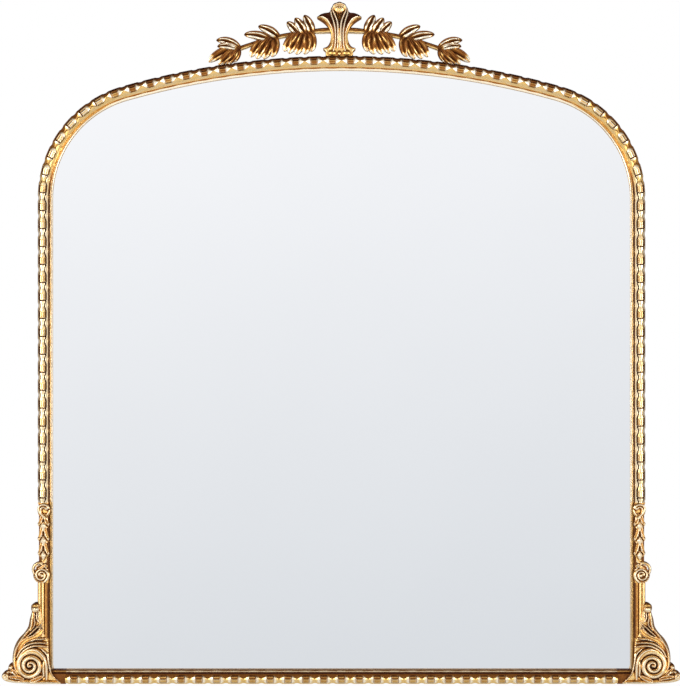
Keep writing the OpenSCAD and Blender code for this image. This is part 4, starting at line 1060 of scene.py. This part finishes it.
# The right corner casting, from the corner of the frame: its edge, the eye of the spiral, the ball of the
# toe, and the strokes and domes
CORNER_EDGE = [
    (-5.4, 99), (-4.6, 105), (-1.4, 109.2), (3.6, 110), (8, 107.4), (8.8, 102.4), (7.8, 97.6), (10.4, 89),
    (12.6, 78), (17.6, 70.2), (24.6, 62.8), (29.4, 55), (32.3, 46.4), (33.6, 37), (33.7, 30), (35.2, 28.2),
    (38.4, 26.6), (39.4, 22.6), (41, 18.4), (45.4, 16.6), (48, 12.6), (47.7, 8), (44.6, 4.8), (38, 2.8),
    (30, 1.7), (19, 1.2), (8, 0.5), (-10, 0.3), (-28, 0.3), (-31.6, 1.4), (-25.4, 7.4), (-19.8, 14.8),
    (-17.4, 22), (-16, 30), (-14.9, 44), (-14.4, 56), (-12.4, 62), (-9.2, 68), (-7.4, 76), (-6.8, 84),
    (-5.6, 92)
]
EYE, TOE_BALL = (9.2, 25.8), (43, 10.9)


def spiral(eye, r0, r1, turns, start, count):
    """Points of a spiral that winds clockwise from r0 in to r1."""
    s = np.linspace(0, 1, count)
    a = np.radians(start - 360 * turns * s)
    r = r1 + (r0 - r1) * (1 - s) ** 1.1
    return [(eye[0] + u, eye[1] + v) for u, v in zip(r * np.cos(a), r * np.sin(a))]


CORNER_LINES = [
    ("keel", (2.2, 3, 3, 3.4, 3.4, 3.2, 3, 2.8, 2.6, 2.6), (3, 5.6, 6, 6.4, 6.6, 6.6, 6.6, 6.4, 6, 4),
     [(6.2, 97), (7.2, 87), (8.8, 77.6), (15.4, 69.4), (22.9, 58.6), (28, 49.4), (30.6, 40), (31.3, 31),
      (29, 21), (22, 11.6)]),
    ("round", 1.0, 5.4, [(3.6, 97), (3.9, 90), (3, 84), (4.4, 78.6), (9, 73)]),
    ("round", 1.3, 4.6, [(0.2, 97.4), (0.6, 91), (-1.4, 85)]),
    ("dish", 2.6, 4, [(-3.2, 98), (-4.2, 88), (-4.6, 82)]),
    ("round", 1.2, 5.6, [(-4.6, 81.6), (0.6, 77.2), (7.4, 70.6), (14.6, 64.4)]),
    ("round", 1.3, 6.2, [(-6.2, 79.8), (-1.8, 73.2), (4.6, 67.4), (10, 64.8), (16.2, 62.8)]),
    ("dish", 3.6, 4.8,
     [(-7.4, 74), (-1.2, 67.4), (6.6, 63.4), (15.8, 59.4), (22, 53), (25.8, 46), (28, 38.6)]),
    ("round", 1.5, 5.6, [(-10.6, 62.4), (-6, 61.8), (2, 61.4), (9, 58.9)]),
    ("round", 1.7, 6.8, [(-12.4, 56.2), (-2, 57), (9, 55.6), (17.6, 50.9), (23.4, 45.2), (27.2, 37.6)]),
    ("round", 1.8, 5.8, [(-13.6, 51), (-3, 52.6), (6.6, 52), (14.9, 48.3), (20.8, 43.2), (25, 36.6)]),
    ("round", 2.4, (3, 6, 7, 7, 6.6, 6.2, 5, 3.4),
     [(-12.4, 7), (-12.8, 16), (-12.4, 27), (-9.4, 37), (-2.6, 44.6), (6, 47.3), (15, 44.6), (21.4, 38.8)]),
    ("round", (1.2, 1.6, 1.7, 1.6, 1.4, 1, 0.8), (3, 5, 5.4, 5.4, 5.2, 4.4, 3),
     [(-6, 47.6), (-13.2, 41), (-15.4, 33), (-16.8, 26), (-19.4, 15.6), (-24.6, 8.4), (-29.8, 3)]),
    ("round", 2.1, 4.4, [(-9.4, 34), (-8.6, 24), (-8.8, 12)]),
    ("keel", 3.2, 4.2, [(-26, 2.4), (-14, 3.2), (-4, 2.8), (10, 3), (20, 4), (30, 4.4), (40, 7)]),
    ("leaf", 3.6, 5.2, [(7.6, 5), (1, 7.4), (-6, 10.6)]),
    ("leaf", 3.4, 6, [(36, 10.6), (27, 10), (19.6, 7.6)]),
    ("round", 1.6, 5.6, [(37.4, 17.6), (31, 15), (27.4, 9)]),
    ("leaf", 2.6, 5.4, [(35.6, 21), (31, 17.6), (27.4, 12.6)]),
]
CORNER_DOMES = [(2.3, 102.4, 5.6, 5.2, 7.6), (1.8, 107.2, 5.8, 2.9, 6), (*TOE_BALL, 5.3, 5.3, 7.6),
                (36, 23.6, 3.4, 3.2, 6.2), (39.6, 17, 2.2, 2.2, 5.4)]


def corner(o):
    """A corner casting: a spiral of rounded turns that rise towards the eye, fronds above it that sweep
    off the frame, an outer rim that runs up to a ball under a cap, and a toe with a ringed ball."""
    loop = catmull(CORNER_EDGE + CORNER_EDGE[:1], 260)[:-1]
    turns = spiral(EYE, 19.4, 2.2, 2.55, 150, 110)
    widths, heights = (3.3, 3.3, 3.2, 3.0, 2.7, 2.2, 1.5), (4.6, 5.6, 6.2, 6.6, 7.2, 7.8, 8.2)
    lines = CORNER_LINES + [("round", widths, heights, turns)]

    def relief(x, y):
        # The strokes, the domes with the spiral's eye, painted shade on the top of the cap, a ring cut round
        # the toe's ball, and a sunk ground
        z, glow = strokes(x, y, lines)
        z = np.maximum(z, bosses(x, y, CORNER_DOMES + [(*EYE, 2.3, 2.3, 9.4)]))
        glow = glow - 0.5 * smooth(105.4, 107, y)
        ring = np.hypot(x - TOE_BALL[0], y - TOE_BALL[1])
        z = z - 1.3 * np.exp(-((ring - 2.5) / 0.55) ** 2)
        eye = np.hypot(x - EYE[0], y - EYE[1])
        return CORNER_Z + o.relief * z - 0.8 * np.exp(-((eye - 17) / 9) ** 4) * (z < 1), glow

    part = carving((-32.4, 48.6, -0.4, 110.6), o.step * MM * 1.08, lambda x, y: within(x, y, loop), relief,
                   lambda x: np.where(x > 0.3, 8.0, SEAT_Z), edge=1.8, base_tone=0.71)
    return moved(part, HALF_W, SILL_Y)


# The right volute, from its middle: the disc's radius, the hook's half width, the fill between them with its
# half width, and the strokes and domes. The first stroke is the hook.
DISC_R, ARM_HALF, FILL_LINE, FILL_HALF = 11.3, 1.9, [(-4.4, 11.6), (3.6, 10.4)], 3.6
# A stroke's last number, where given, is painted light, and painted shade below 0
VOLUTE_LINES = [
    ("round", 2.0, 3.6, [(9.8, 2), (11.2, 7.4), (9.2, 13.2), (4.4, 16.6), (-1.4, 17)], -0.2),
    ("round", 1.4, 3.4, [(7.4, 8.4), (6.4, 12), (1.4, 14.8), (-3, 14.6)], 0.15),
    ("leaf", 2.4, 3.2, [(2.4, 9), (-2.2, 12), (-6.2, 14.6)], 0.1),
    ("round", 1.1, 2.6, [(-8, 7), (-6, 10), (-3.4, 12)]),
]
VOLUTE_DOMES = [(-1.8, -0.4, 3.4, 3, 4.6), (1.6, 0.9, 2, 2, 3.6), (-3.2, -9.6, 2.6, 1.4, 3.2)]


def small_volute(o):
    """The small volute on the stile: a disc with a spiral of nearly two turns, an oval eye, nubs below and
    a hook of two strands above."""
    turns = spiral((0, 0), 9.6, 3.4, 1.7, 250, 70)
    lines = VOLUTE_LINES + [("round", (1.7, 1.7, 1.5, 1.2), (3.4, 3.6, 3.8, 3.6), turns)]
    a = np.radians(np.linspace(-78, -8, 5))
    nubs = [(9.5 * math.cos(k), 9.5 * math.sin(k), 1.2, 1.2, 3.4) for k in a]
    hook = catmull(VOLUTE_LINES[0][3], 30)

    def outline(x, y):
        disc = DISC_R - np.hypot(x, y)
        arm = ARM_HALF - along(x, y, hook)[0]
        fill = FILL_HALF - along(x, y, np.array(FILL_LINE))[0]
        return np.maximum(np.maximum(disc, arm), fill)

    def relief(x, y):
        z, glow = strokes(x, y, lines)
        z = np.maximum(z, bosses(x, y, VOLUTE_DOMES + nubs))
        return VOLUTE_Z + o.relief * z, glow

    part = carving((-12, 13.6, -12, 19.4), o.step * MM * 0.8, outline, relief, lambda x: 0 * x + SEAT_Z,
                   edge=1.0, base_tone=0.66)
    return moved(part, HALF_W - 5.4, SILL_Y + 148)


def kite(x, y, py, half, low, high):
    """A pyramid with a kite for its foot: half is its half width, and it reaches low down and high up."""
    q = np.abs(x) / half + np.where(y < py, (py - y) / low, (y - py) / high)
    return np.clip(1 - q, 0, 1)


# The right husk drop, from its foot: each husk's foot, height and half widths at foot and head, the strips
# that carry the drop's tail, neck and hook with their half widths, and the hook's strokes and ball
HUSKS = ((10.4, 20.4, 7.6, 3.6), (30.0, 20.8, 7.8, 3.6), (50.0, 14.0, 7.8, 4.2))
HUSK_STRIPS = (([(-0.8, 1), (-0.8, 14)], 3.4), ([(-0.6, 56), (0, 62)], 5.2), ([(-0.4, 68), (-0.2, 71)], 8.4))
# A stroke's last number, where given, is painted light, and painted shade below 0
HOOK_LINES = [
    ("round", 2.1, 5.2, [(-7, 56), (-1.6, 61.4), (4.4, 66.6), (6.8, 72), (4.6, 76.8), (-0.6, 77.8),
                         (-4.6, 76.2), (-6.4, 73.4)]),
    ("round", 1.5, 5.4, [(-2, 58), (2.2, 64), (3.8, 69.6), (2, 73.8), (-1.6, 74), (-3, 71.2)], 0.25),
    ("round", 1.4, 3.4, [(-3.4, 62.4), (-6.2, 66), (-7.2, 70)], -0.2),
]
HOOK_BALL = (-4.4, 72.6, 2.6, 2.4, 5.4)


def husks(o):
    """Three bell-shaped husks, each with two flaring leaves with curled tips over a kite-shaped drop,
    under a hook of two strands with a ball."""
    lines, domes = [], [HOOK_BALL]
    for y0, tall, *_ in HUSKS:
        flare = [(1.5, y0 + tall), (3.2, y0 + tall * 0.62), (4.8, y0 + tall * 0.34), (6.8, y0 + 1.6)]
        vein = [(0.8, y0 + tall * 0.9), (1.9, y0 + tall * 0.5), (2.2, y0 + tall * 0.2)]
        # The flaring leaves are painted a little darker as shade and the veins lighter as highlights
        lines += twice([("leaf", (2.0, 3.1, 3.4, 2.8), (3.6, 4.6, 4.6, 4), flare, -0.12),
                        ("round", 0.9, 4.4, vein, 0.2)])
        domes += twice([(7.1, y0 + 1.8, 2.4, 2.2, 4.4)])

    def outline(x, y):
        inside = np.full(x.shape, -np.inf)
        for strip, half in HUSK_STRIPS:
            inside = np.maximum(inside, half - along(x, y, np.array(strip))[0])
        for y0, tall, foot, head in HUSKS:
            away, share = along(x, y, np.array([(0, y0 + 2.4), (0, y0 + tall - 4)]))
            inside = np.maximum(inside, foot + (head - foot) * share ** 0.8 - away)
        return inside

    def relief(x, y):
        z, glow = strokes(x, y, lines + HOOK_LINES)
        z = np.maximum(z, bosses(x, y, domes))
        # Each kite-shaped drop is painted light all over, as a highlight
        for y0, *_ in HUSKS:
            point = kite(x, y, y0 - 0.8, 3.9, 8.2, 6.4)
            tall = (3.9 + 1.9 * point) * (point > 0.02)
            glow = np.where(tall > z, 1.5, glow)
            z = np.maximum(z, tall)
        return HUSK_Z + o.relief * z, glow

    part = carving((-9.4, 9.4, -4.4, 80.6), o.step * MM * 0.9, outline, relief, lambda x: 0 * x + SEAT_Z,
                   edge=1.0, base_tone=0.66)
    return moved(part, HALF_W - CHAIN_U - 1.2, SILL_Y + 165.8)


def build_crest(o, gilt):
    """The palmette, both stems and the six sprays."""
    piece("palmette", [palmette(o)], gilt["crest"], ["crest_palmette"])
    rod = stem(o)
    sprays = {name: spray(o, name) for name in LEAVES}
    for side, mirrored in SIDES:
        shift = -CREST_X if mirrored else CREST_X
        shifted = [moved(part, shift, 0) for part in rod]
        piece("stem_" + side, shifted, gilt["leaf"], ["crest_stem_" + side], mirrored)
        for name, parts in sprays.items():
            shifted = [moved(part, shift, 0) for part in parts]
            cad = "leaf_spray_%s_%s" % (name, side)
            piece("spray_%s_%s" % (name, side), shifted, gilt["leaf"], [cad], mirrored, crease=60)


def build_castings(o, gilt):
    """The corner castings, the small volutes and the husk drops on both sides."""
    made = (("corner", corner(o), "corner_scroll_"), ("volute", small_volute(o), "stile_volute_"),
            ("husks", husks(o), "husk_drop_"))
    for name, part, cad in made:
        for side, mirrored in SIDES:
            piece(name + "_" + side, [part], gilt["carving"], [cad + side], mirrored)


# The steps of the build


def settings():
    """The scene's property groups."""
    return bpy.context.scene.wall_mirror


# The gildings: painted shade on faces that look up, clouds, and the gold's share in the rubbed tops
GILTS = {"arch": (0.5, 0.25, 0.12), "stile": (0.3, 0.2, 0.05), "bottom": (0.25, 0.3, 0.2),
         "carving": (0.3, 0.3, 0.35), "crest": (0.75, 0.25, 0.1), "leaf": (0.5, 0.25, 0.05)}

# The plain finishes of the back: the colour's property, how bright it is taken, the values of worn() from
# darker on, and the CAD nodes that get it
FITTINGS = {
    "fibreboard": ("board", 1.0, (0.72, 140.0, 1400.0, 0.62, 0.85, 0.0003, 0.0), ["back_board"]),
    "foam_tape": ("foam", 1.0, (0.7, 500.0, 2500.0, 0.75, 0.95, 0.0004, 0.0), ["glazing_tape"]),
    "rubber": ("rubber", 1.0, (0.75, 200.0, 2200.0, 0.5, 0.75, 0.0002, 0.0),
               ["setting_blocks", "wall_bumpers"]),
    "zinc_steel": ("steel", 1.0, (0.78, 220.0, 1800.0, 0.24, 0.46, 0.0001, 1.0),
                   ["board_clips", "corner_plates", "splice_plates", "crest_plate", "hanger_strap_left",
                    "hanger_strap_right"]),
    "screw_steel": ("steel", 0.8, (0.6, 500.0, 3000.0, 0.2, 0.42, 0.0001, 1.0),
                    ["clip_screws", "plate_screws", "crest_screws", "hanger_screws"]),
    "ring_wire": ("steel", 1.0, (0.66, 300.0, 2600.0, 0.18, 0.38, 0.0001, 1.0),
                  ["hanger_ring_left", "hanger_ring_right"]),
}


def gilts():
    """The gilded materials by name, each made when it is first asked for."""
    finish, made = settings().finish, {}
    for name, values in GILTS.items():
        label = "gilding_" + name
        made[name] = bpy.data.materials.get(label) or gilding(label, finish, *values)
    return made


class WALLMIRROR_OT_moulding(Operator):
    """Builds the bead-and-cord moulding of the crown, shoulders, stiles and bottom rail"""

    bl_idname = "wall_mirror.moulding"
    bl_label = "Moulding"

    def execute(self, context):
        build_rails(settings().moulding, gilts())
        return {"FINISHED"}


class WALLMIRROR_OT_crest(Operator):
    """Builds the crest: the palmette, its two stems and the six leaf sprays"""

    bl_idname = "wall_mirror.crest"
    bl_label = "Crest"

    def execute(self, context):
        build_crest(settings().ornament, gilts())
        return {"FINISHED"}


class WALLMIRROR_OT_castings(Operator):
    """Builds the corner castings, the small volutes and the husk drops"""

    bl_idname = "wall_mirror.castings"
    bl_label = "Castings"

    def execute(self, context):
        build_castings(settings().ornament, gilts())
        return {"FINISHED"}


class WALLMIRROR_OT_glass(Operator):
    """Silvers the mirror glass"""

    bl_idname = "wall_mirror.glass"
    bl_label = "Glass"

    def execute(self, context):
        made, tree, shader = material("silvered_glass", Metallic=1.0)
        silver = settings().finish.silver
        haze = noise(tree, node(tree, "TexCoord").outputs["Object"], 3.0, 3.0)
        dim = (*[c * 0.985 for c in silver], 1.0)
        tint = blend_colour(tree, spread(tree, haze, 0.3, 0.7), (*silver, 1.0), dim)
        tree.links.new(tint, shader.inputs["Base Color"])
        tree.links.new(spread(tree, haze, 0.3, 0.7, 0.015, 0.03), shader.inputs["Roughness"])
        dress(["mirror_glass"], made)
        return {"FINISHED"}


class WALLMIRROR_OT_back(Operator):
    """Finishes the back board, tape, blocks, bumpers, plates, clips, screws, straps and rings"""

    bl_idname = "wall_mirror.back"
    bl_label = "Back and fittings"

    def execute(self, context):
        for name, (tint, bright, values, nodes) in FITTINGS.items():
            base = [c * bright for c in getattr(settings().finish, tint)]
            dress(nodes, worn(name, base, *values))
        return {"FINISHED"}


# Studio


# The camera's place, and the height of the floor over it, in metres
CAMERA_X, CAMERA_Z, FLOOR_DROP = -0.0021, -0.1276, -0.47

# What gloss sees of the studio: the front, which slants and is lighter higher up, the ceiling, the wall
# behind and the ground
FRONT_LOW, FRONT_HIGH, FRONT_SLANT, FRONT_BLEND = srgb(218, 222, 226), srgb(250, 251, 253), 0.17, 0.18
CEILING, REAR_WALL, GROUND = srgb(70, 40, 24), srgb(92, 62, 44), srgb(255, 240, 214)


def front_colour(tree, slope):
    """The colour of the studio's front in a direction that rises by this much."""
    return blend_colour(tree, spread(tree, slope, -FRONT_BLEND, FRONT_BLEND), FRONT_LOW, FRONT_HIGH)


def build_world(studio):
    """A white background for the camera, an even light for matt surfaces, and for gloss a pale front
    and ground with a darker ceiling and wall, so that metal shows its form."""
    world = bpy.data.worlds.new("studio")
    bpy.context.scene.world = world
    world.use_nodes = True
    tree = world.node_tree
    tree.nodes.clear()
    ray = node(tree, "LightPath").outputs
    way = node(tree, "SeparateXYZ", None, Vector=node(tree, "TexCoord").outputs["Generated"]).outputs
    front = front_colour(tree, maths(tree, "ADD", way[2], maths(tree, "MULTIPLY", way[0], -FRONT_SLANT)))
    high = blend_colour(tree, spread(tree, way[2], 0.24, 0.46), front, CEILING)
    back = blend_colour(tree, spread(tree, way[1], -0.05, 0.25), high, REAR_WALL)
    seen = blend_colour(tree, spread(tree, way[2], -0.5, -0.3), GROUND, back)
    gloss = node(tree, "Background", None, Color=seen, Strength=1.0).outputs[0]
    matt = node(tree, "Background", None, Color=(1.0, 0.99, 0.97, 1.0), Strength=studio.fill).outputs[0]
    white = node(tree, "Background", None, Color=(1.0, 1.0, 1.0, 1.0), Strength=1.0).outputs[0]
    glossy = maths(tree, "MAXIMUM", ray["Is Glossy Ray"], ray["Is Transmission Ray"])
    mixed = node(tree, "MixShader", None, i0=glossy, i1=matt, i2=gloss).outputs[0]
    shown = node(tree, "MixShader", None, i0=ray["Is Camera Ray"], i1=mixed, i2=white).outputs[0]
    out = tree.nodes.new("ShaderNodeOutputWorld")
    tree.links.new(shown, out.inputs["Surface"])


def build_floor(studio):
    """A pale floor below the frame, in metres. Gloss sees it as the studio's front, by the rise of the line
    from the camera to each place, and it keeps the shadow."""
    mesh = bpy.data.meshes.new("floor")
    half, front, rear, z = 1.2, -1.3, 0.0, SILL_Y / MM - 0.010
    corners = [(-half, front, z), (half, front, z), (half, rear, z), (-half, rear, z)]
    mesh.from_pydata(corners, [], [(0, 1, 2, 3)])
    made, tree, shader = material("pale_floor", Roughness=0.6, Specular_IOR_Level=0.2)
    place = node(tree, "TexCoord").outputs["Object"]
    cloud = spread(tree, noise(tree, place, 6.0), 0.3, 0.7)
    dim = (*[c * 0.97 for c in studio.floor], 1.0)
    tree.links.new(blend_colour(tree, cloud, (*studio.floor, 1.0), dim), shader.inputs["Base Color"])
    spot = node(tree, "SeparateXYZ", None, Vector=place).outputs
    reach = maths(tree, "SUBTRACT", studio.distance, spot[1])
    drop = maths(tree, "SUBTRACT", FLOOR_DROP, maths(tree, "MULTIPLY", spot[0], FRONT_SLANT))
    far = front_colour(tree, maths(tree, "DIVIDE", drop, reach))
    glow = node(tree, "Emission", None, Color=far, Strength=1.0).outputs[0]
    ray = node(tree, "LightPath").outputs
    shown = node(tree, "MixShader", None, i0=ray["Is Glossy Ray"], i1=shader.outputs[0], i2=glow).outputs[0]
    tree.links.new(shown, tree.nodes["Material Output"].inputs["Surface"])
    mesh.materials.append(made)
    floor = bpy.data.objects.new("studio_floor", mesh)
    bpy.context.scene.collection.objects.link(floor)


# The soft lamps: their size, and the place, aim and tint of each
LAMP_SIZE = 1.2
LAMPS = {"lamp_left": ((-1.5, -2.1, -0.1), (0, 0, -0.1), (1.0, 0.97, 0.92)),
         "lamp_right": ((1.6, -1.9, -0.5), (0, 0, -0.15), (1.0, 0.96, 0.9))}


def area_lamp(name, place, aim, tint, power):
    """A soft square lamp at place that points at aim."""
    data = bpy.data.lights.new(name, "AREA")
    data.size = LAMP_SIZE
    data.energy = power
    data.color = tint
    lamp = bpy.data.objects.new(name, data)
    bpy.context.scene.collection.objects.link(lamp)
    lamp.location = place
    way = np.array(aim) - np.array(place)
    tilt = math.acos(-way[2] / np.linalg.norm(way))
    lamp.rotation_euler = (tilt, 0, math.atan2(way[1], way[0]) - math.pi / 2)


class WALLMIRROR_OT_studio(Operator):
    """Makes the pale floor, the soft light and the camera"""

    bl_idname = "wall_mirror.studio"
    bl_label = "Studio"

    def execute(self, context):
        studio = settings().studio
        build_world(studio)
        build_floor(studio)
        for name, (place, aim, tint) in LAMPS.items():
            area_lamp(name, place, aim, tint, studio.lamp)
        data = bpy.data.cameras.new("camera")
        data.lens = studio.focal
        data.sensor_width = 36.0
        camera = bpy.data.objects.new("camera", data)
        bpy.context.scene.collection.objects.link(camera)
        front = -(BUMPER + BEAD_Z) / MM
        camera.location = (CAMERA_X, front - studio.distance, CAMERA_Z)
        camera.rotation_euler = (math.pi / 2, 0, 0)
        context.scene.camera = camera
        context.scene.view_settings.view_transform = "Standard"
        return {"FINISHED"}


class WallMirrorSettings(PropertyGroup):
    moulding: PointerProperty(type=MouldingSettings)
    ornament: PointerProperty(type=OrnamentSettings)
    finish: PointerProperty(type=FinishSettings)
    studio: PointerProperty(type=StudioSettings)


OPERATORS = [WALLMIRROR_OT_moulding, WALLMIRROR_OT_crest, WALLMIRROR_OT_castings, WALLMIRROR_OT_glass,
             WALLMIRROR_OT_back, WALLMIRROR_OT_studio]


class WALLMIRROR_PT_panel(Panel):
    """Lists the pieces of the wall mirror and their settings"""

    bl_label = "Wall Mirror"
    bl_idname = "WALLMIRROR_PT_panel"
    bl_space_type = "VIEW_3D"
    bl_region_type = "UI"
    bl_category = "Wall Mirror"

    def draw(self, context):
        for title, group in (("Moulding", settings().moulding), ("Ornament", settings().ornament),
                             ("Finish", settings().finish), ("Studio", settings().studio)):
            box = self.layout.box()
            box.label(text=title)
            for key in group.bl_rna.properties.keys():
                if key not in ("rna_type", "name"):
                    box.prop(group, key)
        for kind in OPERATORS:
            self.layout.operator(kind.bl_idname)


CLASSES = [MouldingSettings, OrnamentSettings, FinishSettings, StudioSettings, WallMirrorSettings,
           *OPERATORS, WALLMIRROR_PT_panel]


def register():
    """Makes the classes and the scene's settings known."""
    for kind in CLASSES:
        bpy.utils.register_class(kind)
    bpy.types.Scene.wall_mirror = PointerProperty(type=WallMirrorSettings)


def unregister():
    """Takes them away again."""
    del bpy.types.Scene.wall_mirror
    for kind in reversed(CLASSES):
        bpy.utils.unregister_class(kind)


def main():
    """Builds every piece and the studio."""
    register()
    for kind in OPERATORS:
        group, name = kind.bl_idname.split(".")
        getattr(getattr(bpy.ops, group), name)()


if __name__ == "__main__":
    main()
